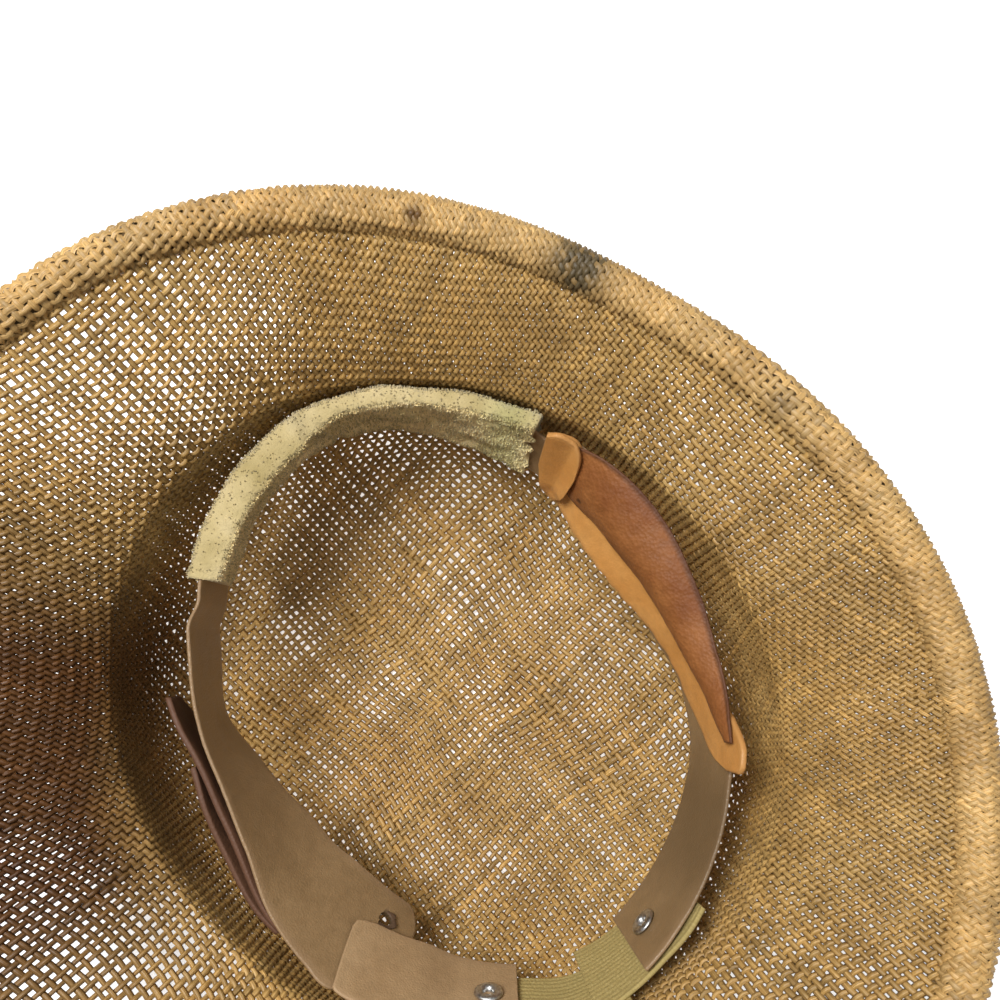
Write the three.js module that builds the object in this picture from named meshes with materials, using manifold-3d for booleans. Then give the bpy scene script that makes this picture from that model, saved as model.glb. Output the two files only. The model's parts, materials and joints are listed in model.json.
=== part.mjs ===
// A pith helmet woven from straw, lying crown down with its brim up, in millimetres and +Z up.
// The wearer's front is toward -Y. A leather headband hangs inside the crown, with a towelling pad at the
// forehead, a leather leaf and bolster at each temple, and an elastic strap riveted in at the back.
import * as THREE from 'three';
import { mergeVertices } from 'three/addons/utils/BufferGeometryUtils.js';
import Module from 'manifold-3d';

const wasm = await Module();
wasm.setup();

// Driving dimensions
const RIM_LENGTH = 322;           // front to back, at the middle of the rolled edge
const RIM_WIDTH = 289;            // side to side, at the middle of the rolled edge
const ROLL_DIAMETER = 13.6;       // rolled edge of the brim
const CROWN_DEPTH = 98;           // from the crown's top to the headband's upper edge
const BRIM_RISE = 42.5;           // from the headband's upper edge to the middle of the roll
const BRIM_WAVE = 4.9;            // the brim stands this much higher at front and back, lower at the sides
const STRAW_THICKNESS = 2.4;      // woven wall of crown and brim
const CROWN_ASPECT = 0.868;       // width of the crown over its length
const BAND_RADIUS = 90;           // mean reach of the headband's upper edge from its middle
const BAND_WIDTH = 38;            // height of the leather headband
const BAND_THICKNESS = 2.2;       // leather of headband and back strap
const LEAF_THICKNESS = 1.8;       // leather of the temple leaves
const BOLSTER_SWELL = 6.5;        // how far the right bolster swells off its leaf
const BOLSTER_EDGE = 0.9;         // thickness of a bolster at its edges
const BOLSTER_BOW = 1.6;          // how far the left bolster bows off its leaf
const LEAF_FLARE = 5;             // how far the left leaf's front end stands off the headband
const PAD_THICKNESS = 2.6;        // towelling on each face of the headband
const ELASTIC_THICKNESS = 1.4;
const RIVET_DIAMETER = 9.2;
const RIVET_HEIGHT = 1.1;         // thickness of a rivet's flange
const RIVET_SHANK = 4.6;          // diameter of a rivet's shank
const RIVET_BORE = 2.6;
const PUNCHED_HOLE = 4.4;         // size hole in the headband's tongue
const CLEARANCE = 0.3;            // air between neighbouring pieces
const PAD_CORNER = 1.6;           // how far the pad's edges are cut off
const DRILL_REACH = 9;            // a drill runs this far to each side of the leather

// How finely curves are cut into facets
const TURN_STEP = 3;              // degrees between the cuts of all that lies on the headband
const TANGENT_STEP = 1;           // degrees to each side when a direction is measured
const STRIP_ROWS = 3;             // facets across a flat strip
const BOLSTER_ROWS = 6;           // facets across the swollen bolster
const SHELL_SEGMENTS = 60;        // facets round the shell and the roll
const ROLL_SIDES = 10;
const RIVET_SIDES = 20;
const DRILL_SIDES = 18;

// The headband and the crown lie a little to one side of the brim's middle.
const BAND_CENTRE = new THREE.Vector2(-16.5, 4.5);
const CROWN_SHIFT = new THREE.Vector2(2.5, -2);
const CROWN_CENTRE = BAND_CENTRE.clone().add(CROWN_SHIFT);

// The headband's upper edge as a closed curve around its middle, turned from +X toward +Y.
// reach is a share of BAND_RADIUS, lean the inward slope of the band in degrees.
const BAND_SECTIONS = [
  { turn: 0, reach: 0.955, lean: 36 },
  { turn: 15, reach: 1.03, lean: 36 },
  { turn: 30, reach: 1.085, lean: 27 },
  { turn: 45, reach: 1.111, lean: 19 },
  { turn: 60, reach: 1.144, lean: 16 },
  { turn: 75, reach: 1.117, lean: 13 },
  { turn: 90, reach: 1.07, lean: 12 },
  { turn: 105, reach: 1.024, lean: 10 },
  { turn: 120, reach: 0.983, lean: 9 },
  { turn: 135, reach: 0.972, lean: 16 },
  { turn: 150, reach: 0.972, lean: 27 },
  { turn: 165, reach: 1.0, lean: 36 },
  { turn: 180, reach: 1.028, lean: 34 },
  { turn: 195, reach: 1.061, lean: 21 },
  { turn: 210, reach: 1.072, lean: 11 },
  { turn: 225, reach: 1.115, lean: 4 },
  { turn: 240, reach: 1.16, lean: 0 },
  { turn: 255, reach: 1.156, lean: 0 },
  { turn: 270, reach: 1.11, lean: 1 },
  { turn: 285, reach: 1.044, lean: 1 },
  { turn: 300, reach: 0.951, lean: 0 },
  { turn: 315, reach: 0.902, lean: 0 },
  { turn: 330, reach: 0.861, lean: 10 },
  { turn: 345, reach: 0.874, lean: 22 },
];

// How far in millimetres the rolled edge stands out of an oval, the same on opposite sides.
const RIM_HALF = [
  { turn: 10, out: -2.6 },
  { turn: 26, out: -1.6 },
  { turn: 45, out: -0.2 },
  { turn: 100, out: 0.8 },
  { turn: 130, out: 2.3 },
  { turn: 148, out: 3.6 },
  { turn: 163, out: 2.2 },
  { turn: 177, out: -0.4 },
];
const RIM_SECTIONS = [...RIM_HALF, ...RIM_HALF.map(({ turn, out }) => ({ turn: turn + 180, out }))];

// The crown from its top to the headband's upper edge: height as a share of CROWN_DEPTH, spread as a share of
// the opening.
const CROWN_SECTIONS = [
  { height: 0, spread: 0.28 },
  { height: 0.03, spread: 0.42 },
  { height: 0.09, spread: 0.585 },
  { height: 0.19, spread: 0.745 },
  { height: 0.32, spread: 0.865 },
  { height: 0.46, spread: 0.94 },
  { height: 0.62, spread: 0.98 },
  { height: 0.82, spread: 0.996 },
  { height: 1, spread: 1 },
];

// The brim from the opening to the roll. out is a share of the way out, up of the way up.
const BRIM_SECTIONS = [
  { out: 0.05, up: 0.12 },
  { out: 0.15, up: 0.29 },
  { out: 0.31, up: 0.48 },
  { out: 0.5, up: 0.66 },
  { out: 0.74, up: 0.84 },
  { out: 1, up: 1 },
];

// Outlines drawn on the headband's surface: turn in degrees, and upper and lower edge as drops below the
// headband's upper edge, in shares of BAND_WIDTH.
const PAD_START = 203.6;
const PAD_END = 286;
const TUCK_MARGIN = 4;            // degrees past the pad's ends where the headband is still drawn in
const TUCK_RUN = 6;               // degrees over which it comes back out
const LOBE_RUN = 6;               // degrees past the bolster's end over which the lobe comes down
const ELASTIC_SINK = { start: 52, end: 63 };
const BAND_OUTLINE = [
  { turn: 76, upper: 0, lower: 1 },
  { turn: 112, upper: 0, lower: 1 },
  { turn: 117, upper: 0, lower: 1 },
  { turn: 126, upper: 0.21, lower: 1 },
  { turn: 200, upper: 0.21, lower: 1 },
  { turn: 206, upper: 0.06, lower: 1 },
  { turn: 211, upper: 0.02, lower: 1 },
  { turn: 217, upper: 0.015, lower: 1 },
  { turn: 292, upper: 0, lower: 1 },
  { turn: 324, upper: 0, lower: 0.97 },
  { turn: 336, upper: 0, lower: 0.92 },
  { turn: 346, upper: 0, lower: 0.97 },
  { turn: 362, upper: 0, lower: 1.03 },
  { turn: 370, upper: 0, lower: 1.08 },
  { turn: 377, upper: 0, lower: 1.12 },
  { turn: 381, upper: 0.3, lower: 1.16 },
  { turn: 384, upper: 0.55, lower: 1.17 },
  { turn: 386.5, upper: 0.74, lower: 1.08 },
  { turn: 387.6, upper: 0.86, lower: 0.96 },
];
const HOLE_PLACE = { turn: 378.8, drop: 0.85 };
const LEAF_RIGHT_OUTLINE = [
  { turn: 116, upper: -0.33, lower: -0.1 },
  { turn: 117.5, upper: -0.38, lower: 0.2 },
  { turn: 121, upper: -0.36, lower: 0.46 },
  { turn: 126, upper: -0.12, lower: 0.68 },
  { turn: 131, upper: 0.22, lower: 0.81 },
  { turn: 145, upper: 0.26, lower: 0.88 },
  { turn: 158, upper: 0.26, lower: 1 },
  { turn: 180, upper: 0.3, lower: 1.05 },
  { turn: 189, upper: 0.3, lower: 1.05 },
  { turn: 194, upper: 0.14, lower: 1.03 },
  { turn: 198, upper: 0.04, lower: 0.88 },
  { turn: 200.6, upper: 0.1, lower: 0.55 },
];
const BOLSTER_RIGHT_OUTLINE = [
  { turn: 121.5, upper: -0.24, lower: -0.1, swell: 0.05 },
  { turn: 126.5, upper: -0.16, lower: 0.16, swell: 0.3 },
  { turn: 134, upper: -0.04, lower: 0.37, swell: 0.6 },
  { turn: 144, upper: 0.02, lower: 0.49, swell: 0.85 },
  { turn: 155, upper: 0.03, lower: 0.59, swell: 1 },
  { turn: 166, upper: 0.04, lower: 0.67, swell: 1 },
  { turn: 180, upper: 0.03, lower: 0.71, swell: 0.85 },
  { turn: 188, upper: 0.07, lower: 0.76, swell: 0.5 },
  { turn: 194, upper: 0.16, lower: 0.74, swell: 0.2 },
];
const LOBE_RIGHT_OUTLINE = [
  { turn: 189.8, upper: 0.44, lower: 0.7 },
  { turn: 191, upper: 0.2, lower: 0.92 },
  { turn: 193, upper: 0.07, lower: 1.02 },
  { turn: 195.5, upper: 0, lower: 1 },
  { turn: 198.4, upper: -0.05, lower: 0.86 },
  { turn: 200.4, upper: 0, lower: 0.52 },
];
const LOBE_SETTLE = { start: 0.78, end: 0.96 }; // drops between which the lobe sinks to the leaf
const LEAF_LEFT_OUTLINE = [
  { turn: 309, upper: 0.02, lower: 0.3, flare: 1 },
  { turn: 315, upper: -0.05, lower: 0.6, flare: 0.55 },
  { turn: 322, upper: -0.06, lower: 0.78, flare: 0.12 },
  { turn: 335, upper: -0.04, lower: 0.86, flare: 0 },
  { turn: 352, upper: 0, lower: 0.8, flare: 0 },
  { turn: 364, upper: 0.06, lower: 0.6, flare: 0 },
  { turn: 370, upper: 0.2, lower: 0.42, flare: 0 },
];
const BOLSTER_LEFT_OUTLINE = [
  { turn: 324, upper: -0.06, lower: 0.1, bow: 0 },
  { turn: 333, upper: -0.08, lower: 0.26, bow: 0.8 },
  { turn: 344, upper: -0.05, lower: 0.3, bow: 1 },
  { turn: 355, upper: 0, lower: 0.28, bow: 0.7 },
  { turn: 363, upper: 0.06, lower: 0.16, bow: 0 },
];
const BACK_STRAP_OUTLINE = [
  { turn: 372.8, upper: 0.54, lower: 0.58, over: 1 },
  { turn: 374.6, upper: 0.3, lower: 0.63, over: 1 },
  { turn: 376.1, upper: 0.08, lower: 0.66, over: 1 },
  { turn: 377, upper: -0.04, lower: 0.68, over: 1 },
  { turn: 384, upper: -0.03, lower: 0.77, over: 1 },
  { turn: 392, upper: -0.03, lower: 0.86, over: 1 },
  { turn: 399, upper: -0.03, lower: 0.92, over: 0.1 },
  { turn: 402, upper: -0.03, lower: 0.93, over: 0 },
  { turn: 411.5, upper: -0.04, lower: 0.92, over: 0 },
];
const ELASTIC_LEFT_OUTLINE = [
  { turn: 42, upper: 0, lower: 0.84 },
  { turn: 58, upper: -0.06, lower: 0.8 },
  { turn: 71, upper: -0.06, lower: 0.76 },
];
const ELASTIC_RIGHT_OUTLINE = [
  { turn: 65, upper: 0.04, lower: 1.02 },
  { turn: 78, upper: 0.02, lower: 0.98 },
  { turn: 86, upper: -0.05, lower: 0.9 },
  { turn: 90.5, upper: -0.06, lower: 0.86 },
];
const RIVET_PLACES = {
  rivet_back: { turn: 46, drop: 0.48 },
  rivet_right: { turn: 81, drop: 0.5 },
};

// Cubic interpolation through a table's rows by their turn; a closed table repeats after 360 degrees.
function rowValue(rows, column, turn, closed = false) {
  const count = rows.length;
  const at = closed ? THREE.MathUtils.euclideanModulo(turn, 360) : turn;
  let low = 0;
  while (low < count - 1 && rows[low + 1].turn <= at) low += 1;
  if (!closed) low = Math.min(low, count - 2);
  const pick = (index) => {
    if (closed) {
      const wrapped = THREE.MathUtils.euclideanModulo(index, count);
      return { turn: rows[wrapped].turn + 360 * Math.floor(index / count), value: rows[wrapped][column] };
    }
    const clamped = THREE.MathUtils.clamp(index, 0, count - 1);
    return { turn: rows[clamped].turn, value: rows[clamped][column] };
  };
  const [before, from, to, after] = [low - 1, low, low + 1, low + 2].map(pick);
  const span = to.turn - from.turn;
  const share = THREE.MathUtils.clamp((at - from.turn) / span, 0, 1);
  const slope = (a, b) => (b.turn === a.turn ? 0 : (b.value - a.value) / (b.turn - a.turn));
  const startSlope = slope(before, to) * span;
  const endSlope = slope(from, after) * span;
  const square = share * share;
  const cube = square * share;
  return (2 * cube - 3 * square + 1) * from.value + (cube - 2 * square + share) * startSlope
    + (3 * square - 2 * cube) * to.value + (cube - square) * endSlope;
}

function bandEdge(turn) {
  const reach = BAND_RADIUS * rowValue(BAND_SECTIONS, 'reach', turn, true);
  const angle = THREE.MathUtils.degToRad(turn);
  return new THREE.Vector3(
    BAND_CENTRE.x + reach * Math.cos(angle),
    BAND_CENTRE.y + reach * Math.sin(angle),
    CROWN_DEPTH,
  );
}

// Directions at the headband's outer face: down the band and inward across its leather.
function bandFrame(turn) {
  const along = bandEdge(turn + TANGENT_STEP).sub(bandEdge(turn - TANGENT_STEP)).normalize();
  const outward = new THREE.Vector3(along.y, -along.x, 0);
  const up = new THREE.Vector3(0, 0, 1);
  const lean = THREE.MathUtils.degToRad(rowValue(BAND_SECTIONS, 'lean', turn, true));
  const down = outward.clone().multiplyScalar(-Math.sin(lean)).addScaledVector(up, -Math.cos(lean));
  const inward = outward.clone().multiplyScalar(-Math.cos(lean)).addScaledVector(up, Math.sin(lean));
  return { along, down, inward };
}

// A place on the headband: turn in degrees, drop as a share of its width, depth in millimetres off its
// outer face.
function bandPoint(turn, drop, depth) {
  const { down, inward } = bandFrame(turn);
  return bandEdge(turn).addScaledVector(down, drop * BAND_WIDTH).addScaledVector(inward, depth);
}

function solidGeometry(points, triangles) {
  const geometry = new THREE.BufferGeometry();
  const positions = new Float32Array(points.flatMap((point) => [point.x, point.y, point.z]));
  geometry.setAttribute('position', new THREE.BufferAttribute(positions, 3));
  const volume = triangles.reduce(
    (sum, [a, b, c]) => sum + points[a].dot(points[b].clone().cross(points[c])),
    0,
  );
  geometry.setIndex(volume > 0 ? triangles.flat() : triangles.map(([a, b, c]) => [a, c, b]).flat());
  geometry.computeVertexNormals();
  return geometry;
}

// Every piece on the headband is cut at the same turns, so that their flat facets lie parallel.
function turnsBetween(first, last) {
  const turns = [first];
  const start = TURN_STEP * (Math.floor(first / TURN_STEP) + 1);
  for (let turn = start; turn < last; turn += TURN_STEP) turns.push(turn);
  return [...turns, last];
}

// A closed solid between two grids of points, face and back, each a place for a turn and a share across.
function slab(turns, rows, face, back) {
  const steps = turns.length - 1;
  const points = [];
  const faceIndex = (i, j) => i * (rows + 1) + j;
  const backIndex = (i, j) => (steps + 1) * (rows + 1) + faceIndex(i, j);
  for (const side of [face, back]) {
    for (const turn of turns) {
      for (let j = 0; j <= rows; j += 1) points.push(side(turn, j / rows));
    }
  }
  const triangles = [];
  const quad = (a, b, c, d) => triangles.push([a, b, c], [a, c, d]);
  for (let i = 0; i < steps; i += 1) {
    for (let j = 0; j < rows; j += 1) {
      quad(faceIndex(i, j), faceIndex(i, j + 1), faceIndex(i + 1, j + 1), faceIndex(i + 1, j));
      quad(backIndex(i, j), backIndex(i + 1, j), backIndex(i + 1, j + 1), backIndex(i, j + 1));
    }
    quad(faceIndex(i, 0), faceIndex(i + 1, 0), backIndex(i + 1, 0), backIndex(i, 0));
    quad(faceIndex(i + 1, rows), faceIndex(i, rows), backIndex(i, rows), backIndex(i + 1, rows));
  }
  for (let j = 0; j < rows; j += 1) {
    quad(faceIndex(0, j + 1), faceIndex(0, j), backIndex(0, j), backIndex(0, j + 1));
    quad(faceIndex(steps, j), faceIndex(steps, j + 1), backIndex(steps, j + 1), backIndex(steps, j));
  }
  return solidGeometry(points, triangles);
}

// Share of the way into the towelling: 0 on the bare headband, 1 under the pad and just past its ends.
function tucked(turn) {
  const inside = Math.min(turn - PAD_START, PAD_END - turn) + TUCK_MARGIN;
  return THREE.MathUtils.smoothstep(inside, -TUCK_RUN, 0);
}

// How far the pad's outer layer pushes the headband inward, with all that lies on it there.
function bandShift(turn) {
  return tucked(turn) * (PAD_THICKNESS + CLEARANCE);
}

// A strip lying on the headband between the outline's edges, from depth back(turn, across) to
// face(turn, across).
function strip(outline, rows, back, face) {
  const turns = turnsBetween(outline[0].turn, outline[outline.length - 1].turn);
  const place = (depthOf) => (turn, across) => {
    const upper = rowValue(outline, 'upper', turn);
    const lower = rowValue(outline, 'lower', turn);
    const depth = depthOf(turn, across) + bandShift(turn);
    return bandPoint(turn, THREE.MathUtils.lerp(upper, lower, across), depth);
  };
  return slab(turns, rows, place(face), place(back));
}

// Rings of points joined one to the next, either closed to a point at each end or joined last to first.
function ringSolid(rings, endPoints) {
  const count = rings[0].length;
  const points = rings.flat();
  const triangles = [];
  const joins = endPoints ? rings.length - 1 : rings.length;
  for (let ring = 0; ring < joins; ring += 1) {
    const next = (ring + 1) % rings.length;
    for (let k = 0; k < count; k += 1) {
      const side = (k + 1) % count;
      const [a, b] = [ring * count + k, ring * count + side];
      const [c, d] = [next * count + side, next * count + k];
      triangles.push([a, b, c], [a, c, d]);
    }
  }
  if (endPoints) {
    const firstEnd = points.push(endPoints[0]) - 1;
    const lastEnd = points.push(endPoints[1]) - 1;
    const lastRing = (rings.length - 1) * count;
    for (let k = 0; k < count; k += 1) {
      const side = (k + 1) % count;
      triangles.push([firstEnd, side, k], [lastEnd, lastRing + k, lastRing + side]);
    }
  }
  return solidGeometry(points, triangles);
}

function toManifold(geometry) {
  const plain = geometry.clone();
  plain.deleteAttribute('normal');
  plain.deleteAttribute('uv');
  const merged = mergeVertices(plain);
  return new wasm.Manifold(new wasm.Mesh({
    numProp: 3,
    vertProperties: new Float32Array(merged.attributes.position.array),
    triVerts: new Uint32Array(merged.index.array),
  }));
}

function fromManifold(solid) {
  const mesh = solid.getMesh();
  const geometry = new THREE.BufferGeometry();
  geometry.setAttribute('position', new THREE.BufferAttribute(new Float32Array(mesh.vertProperties), 3));
  geometry.setIndex(new THREE.BufferAttribute(new Uint32Array(mesh.triVerts), 1));
  geometry.computeVertexNormals();
  return geometry;
}

// Turns a geometry's Y axis to the headband's inward direction and moves it to a place there.
function setOnBand(geometry, { turn, drop }, depth) {
  const { along, down, inward } = bandFrame(turn);
  const basis = new THREE.Matrix4().makeBasis(along, inward, along.clone().cross(inward));
  basis.setPosition(bandPoint(turn, drop, depth));
  return geometry.applyMatrix4(basis);
}

function drilled(geometry, place, diameter) {
  const bit = new THREE.CylinderGeometry(diameter / 2, diameter / 2, 2 * DRILL_REACH, DRILL_SIDES);
  return fromManifold(toManifold(geometry).subtract(toManifold(setOnBand(bit, place, 0))));
}

// Depths of the layers at the headband, in millimetres inward from its outer face
const LEAF_BACK = BAND_THICKNESS + CLEARANCE;
const LEAF_FACE = LEAF_BACK + LEAF_THICKNESS;
const BOLSTER_BACK = LEAF_FACE + CLEARANCE;
const LEFT_LEAF_FACE = -CLEARANCE;
const LEFT_LEAF_BACK = LEFT_LEAF_FACE - LEAF_THICKNESS;
const LEFT_BOLSTER_FACE = LEFT_LEAF_BACK - CLEARANCE;
const STRAP_OVERLAP = BAND_THICKNESS + CLEARANCE;
const ELASTIC_RIGHT_FACE = -CLEARANCE;
const ELASTIC_RIGHT_BACK = ELASTIC_RIGHT_FACE - ELASTIC_THICKNESS;
const ELASTIC_LEFT_FACE = ELASTIC_RIGHT_BACK - CLEARANCE;
const RIVET_HOLE = RIVET_SHANK + 2 * CLEARANCE;

// Under the pad the headband's edges are drawn in by the towelling wrapped round them.
function headbandGeometry() {
  const turns = turnsBetween(BAND_OUTLINE[0].turn, BAND_OUTLINE[BAND_OUTLINE.length - 1].turn);
  const place = (depth) => (turn, across) => {
    const shift = bandShift(turn);
    const upper = rowValue(BAND_OUTLINE, 'upper', turn) + shift / BAND_WIDTH;
    const lower = rowValue(BAND_OUTLINE, 'lower', turn) - shift / BAND_WIDTH;
    return bandPoint(turn, THREE.MathUtils.lerp(upper, lower, across), depth + shift);
  };
  const solid = slab(turns, STRIP_ROWS, place(BAND_THICKNESS), place(0));
  return drilled(drilled(solid, HOLE_PLACE, PUNCHED_HOLE), RIVET_PLACES.rivet_right, RIVET_HOLE);
}

// The towelling pad is a sleeve: an outer loop round the headband and an inner loop that clears it.
function padGeometry() {
  const depth = 2 * (PAD_THICKNESS + CLEARANCE) + BAND_THICKNESS;
  const loop = (turn, inset) => {
    const [outside, inside] = [inset, depth - inset];
    const corner = inset === 0 ? PAD_CORNER : 0;
    const [top, bottom] = [inset / BAND_WIDTH, 1 - inset / BAND_WIDTH];
    const [upper, lower] = [top + corner / BAND_WIDTH, bottom - corner / BAND_WIDTH];
    const steps = Array.from({ length: STRIP_ROWS + 1 }, (_, row) => row / STRIP_ROWS);
    const shares = steps.map((step) => THREE.MathUtils.lerp(upper, lower, step));
    return [
      ...shares.map((share) => bandPoint(turn, share, outside)),
      bandPoint(turn, bottom, outside + corner),
      bandPoint(turn, bottom, inside - corner),
      ...shares.map((share) => bandPoint(turn, share, inside)).reverse(),
      bandPoint(turn, top, inside - corner),
      bandPoint(turn, top, outside + corner),
    ];
  };
  const turns = turnsBetween(PAD_START, PAD_END);
  const outer = turns.map((turn) => loop(turn, 0));
  const inner = turns.map((turn) => loop(turn, PAD_THICKNESS)).reverse();
  return ringSolid([...outer, ...inner], null);
}

function leafRightGeometry() {
  return strip(LEAF_RIGHT_OUTLINE, STRIP_ROWS, () => LEAF_BACK, () => LEAF_FACE);
}

function bolsterRightGeometry() {
  const face = (turn, across) => {
    const swell = BOLSTER_SWELL * rowValue(BOLSTER_RIGHT_OUTLINE, 'swell', turn);
    return BOLSTER_BACK + BOLSTER_EDGE + swell * Math.sin(Math.PI * across);
  };
  return strip(BOLSTER_RIGHT_OUTLINE, BOLSTER_ROWS, () => BOLSTER_BACK, face);
}

// The lobe lies over the bolster's front end, clear of its swell there, and settles on the leaf's far edge.
function lobeRightGeometry() {
  const end = BOLSTER_RIGHT_OUTLINE[BOLSTER_RIGHT_OUTLINE.length - 1].turn;
  const back = (turn, across) => {
    const swell = BOLSTER_SWELL * rowValue(BOLSTER_RIGHT_OUTLINE, 'swell', turn);
    const past = THREE.MathUtils.smoothstep(turn, end, end + LOBE_RUN);
    const upper = rowValue(LOBE_RIGHT_OUTLINE, 'upper', turn);
    const lower = rowValue(LOBE_RIGHT_OUTLINE, 'lower', turn);
    const drop = THREE.MathUtils.lerp(upper, lower, across);
    const settled = THREE.MathUtils.smoothstep(drop, LOBE_SETTLE.start, LOBE_SETTLE.end);
    return BOLSTER_BACK + (1 - past) * (1 - settled) * (BOLSTER_EDGE + CLEARANCE + swell);
  };
  const face = (turn, across) => back(turn, across) + LEAF_THICKNESS;
  return strip(LOBE_RIGHT_OUTLINE, STRIP_ROWS, back, face);
}

function leafLeftGeometry() {
  const flare = (turn) => LEAF_FLARE * rowValue(LEAF_LEFT_OUTLINE, 'flare', turn);
  return strip(
    LEAF_LEFT_OUTLINE,
    STRIP_ROWS,
    (turn) => LEFT_LEAF_BACK - flare(turn),
    (turn) => LEFT_LEAF_FACE - flare(turn),
  );
}

function bolsterLeftGeometry() {
  const flare = (turn) => LEAF_FLARE * rowValue(LEAF_LEFT_OUTLINE, 'flare', turn);
  const bow = (turn) => BOLSTER_BOW * rowValue(BOLSTER_LEFT_OUTLINE, 'bow', turn);
  return strip(
    BOLSTER_LEFT_OUTLINE,
    STRIP_ROWS,
    (turn) => LEFT_BOLSTER_FACE - flare(turn) - bow(turn) - LEAF_THICKNESS,
    (turn) => LEFT_BOLSTER_FACE - flare(turn) - bow(turn),
  );
}

function backStrapGeometry() {
  const back = (turn) => STRAP_OVERLAP * rowValue(BACK_STRAP_OUTLINE, 'over', turn);
  const solid = strip(BACK_STRAP_OUTLINE, STRIP_ROWS, back, (turn) => back(turn) + BAND_THICKNESS);
  return drilled(solid, RIVET_PLACES.rivet_back, RIVET_HOLE);
}

// The left length of elastic sinks under the right one where they overlap.
function elasticLeftGeometry() {
  const sink = (turn) => THREE.MathUtils.smoothstep(turn, ELASTIC_SINK.start, ELASTIC_SINK.end);
  const face = (turn) => THREE.MathUtils.lerp(ELASTIC_RIGHT_FACE, ELASTIC_LEFT_FACE, sink(turn));
  const solid = strip(ELASTIC_LEFT_OUTLINE, STRIP_ROWS, (turn) => face(turn) - ELASTIC_THICKNESS, face);
  return drilled(solid, RIVET_PLACES.rivet_back, RIVET_HOLE);
}

function elasticRightGeometry() {
  const solid = strip(
    ELASTIC_RIGHT_OUTLINE,
    STRIP_ROWS,
    () => ELASTIC_RIGHT_BACK,
    () => ELASTIC_RIGHT_FACE,
  );
  return drilled(solid, RIVET_PLACES.rivet_right, RIVET_HOLE);
}

// A hollow rivet: a flange on each side of leather and elastic, joined by a shank with a bore.
function rivetGeometry(place) {
  const low = ELASTIC_RIGHT_BACK - CLEARANCE;
  const high = BAND_THICKNESS + 2 * CLEARANCE;
  const flange = RIVET_DIAMETER / 2;
  const shank = RIVET_SHANK / 2;
  const bore = RIVET_BORE / 2;
  const edge = RIVET_HEIGHT / 2;
  const profile = [
    [bore, low - RIVET_HEIGHT],
    [flange - edge, low - RIVET_HEIGHT],
    [flange, low],
    [shank, low],
    [shank, high],
    [flange, high],
    [flange - edge, high + RIVET_HEIGHT],
    [bore + edge, high + RIVET_HEIGHT],
    [bore, high + edge],
    [bore, low - RIVET_HEIGHT],
  ].map(([x, y]) => new THREE.Vector2(x, y));
  return setOnBand(new THREE.LatheGeometry(profile, RIVET_SIDES), place, 0);
}

// Half length of the crown's opening that clears everything hung inside it.
function openingHalfLength(geometries) {
  let reach = 0;
  const spreadAt = (height) => {
    const share = THREE.MathUtils.clamp((height - STRAW_THICKNESS) / (CROWN_DEPTH - STRAW_THICKNESS), 0, 1);
    const upper = CROWN_SECTIONS.find((section) => section.height >= share);
    const lower = CROWN_SECTIONS[Math.max(CROWN_SECTIONS.indexOf(upper) - 1, 0)];
    const span = Math.max(upper.height - lower.height, Number.EPSILON);
    return THREE.MathUtils.lerp(lower.spread, upper.spread, (share - lower.height) / span);
  };
  for (const geometry of geometries) {
    const position = geometry.attributes.position;
    for (let k = 0; k < position.count; k += 1) {
      const x = (position.getX(k) - CROWN_CENTRE.x) / CROWN_ASPECT;
      const y = position.getY(k) - CROWN_CENTRE.y;
      reach = Math.max(reach, Math.hypot(x, y) / spreadAt(position.getZ(k)));
    }
  }
  return reach + CLEARANCE / CROWN_ASPECT;
}

function rimPoint(angle) {
  const fromFront = angle + Math.PI / 2;
  const out = rowValue(RIM_SECTIONS, 'out', THREE.MathUtils.radToDeg(angle), true);
  return new THREE.Vector3(
    (RIM_WIDTH / 2 + out) * Math.cos(angle),
    (RIM_LENGTH / 2 + out) * Math.sin(angle),
    CROWN_DEPTH + BRIM_RISE + BRIM_WAVE * Math.cos(2 * fromFront),
  );
}

// The shell's inner face: rings from the crown's flat top out to the roll.
function shellRings(halfLength) {
  const angles = Array.from({ length: SHELL_SEGMENTS }, (_, k) => 2 * Math.PI * k / SHELL_SEGMENTS);
  const opening = (angle, spread, height) => new THREE.Vector3(
    CROWN_CENTRE.x + CROWN_ASPECT * halfLength * spread * Math.cos(angle),
    CROWN_CENTRE.y + halfLength * spread * Math.sin(angle),
    height,
  );
  const crown = CROWN_SECTIONS.map(({ height, spread }) => angles.map(
    (angle) => opening(angle, spread, THREE.MathUtils.lerp(STRAW_THICKNESS, CROWN_DEPTH, height)),
  ));
  const brim = BRIM_SECTIONS.map(({ out, up }) => angles.map((angle) => {
    const start = opening(angle, 1, CROWN_DEPTH);
    const rim = rimPoint(angle);
    const across = new THREE.Vector3(rim.x - start.x, rim.y - start.y, 0);
    const rise = rim.z - start.z;
    const [inside, edge] = BRIM_SECTIONS.slice(-2);
    const slope = Math.atan2((edge.up - inside.up) * rise, (edge.out - inside.out) * across.length());
    const margin = ROLL_DIAMETER / 2 + 2 * CLEARANCE + STRAW_THICKNESS * Math.sin(slope);
    const width = across.length() - margin;
    return start.addScaledVector(across.normalize(), out * width).add(new THREE.Vector3(0, 0, up * rise));
  }));
  return [...crown, ...brim];
}

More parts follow.
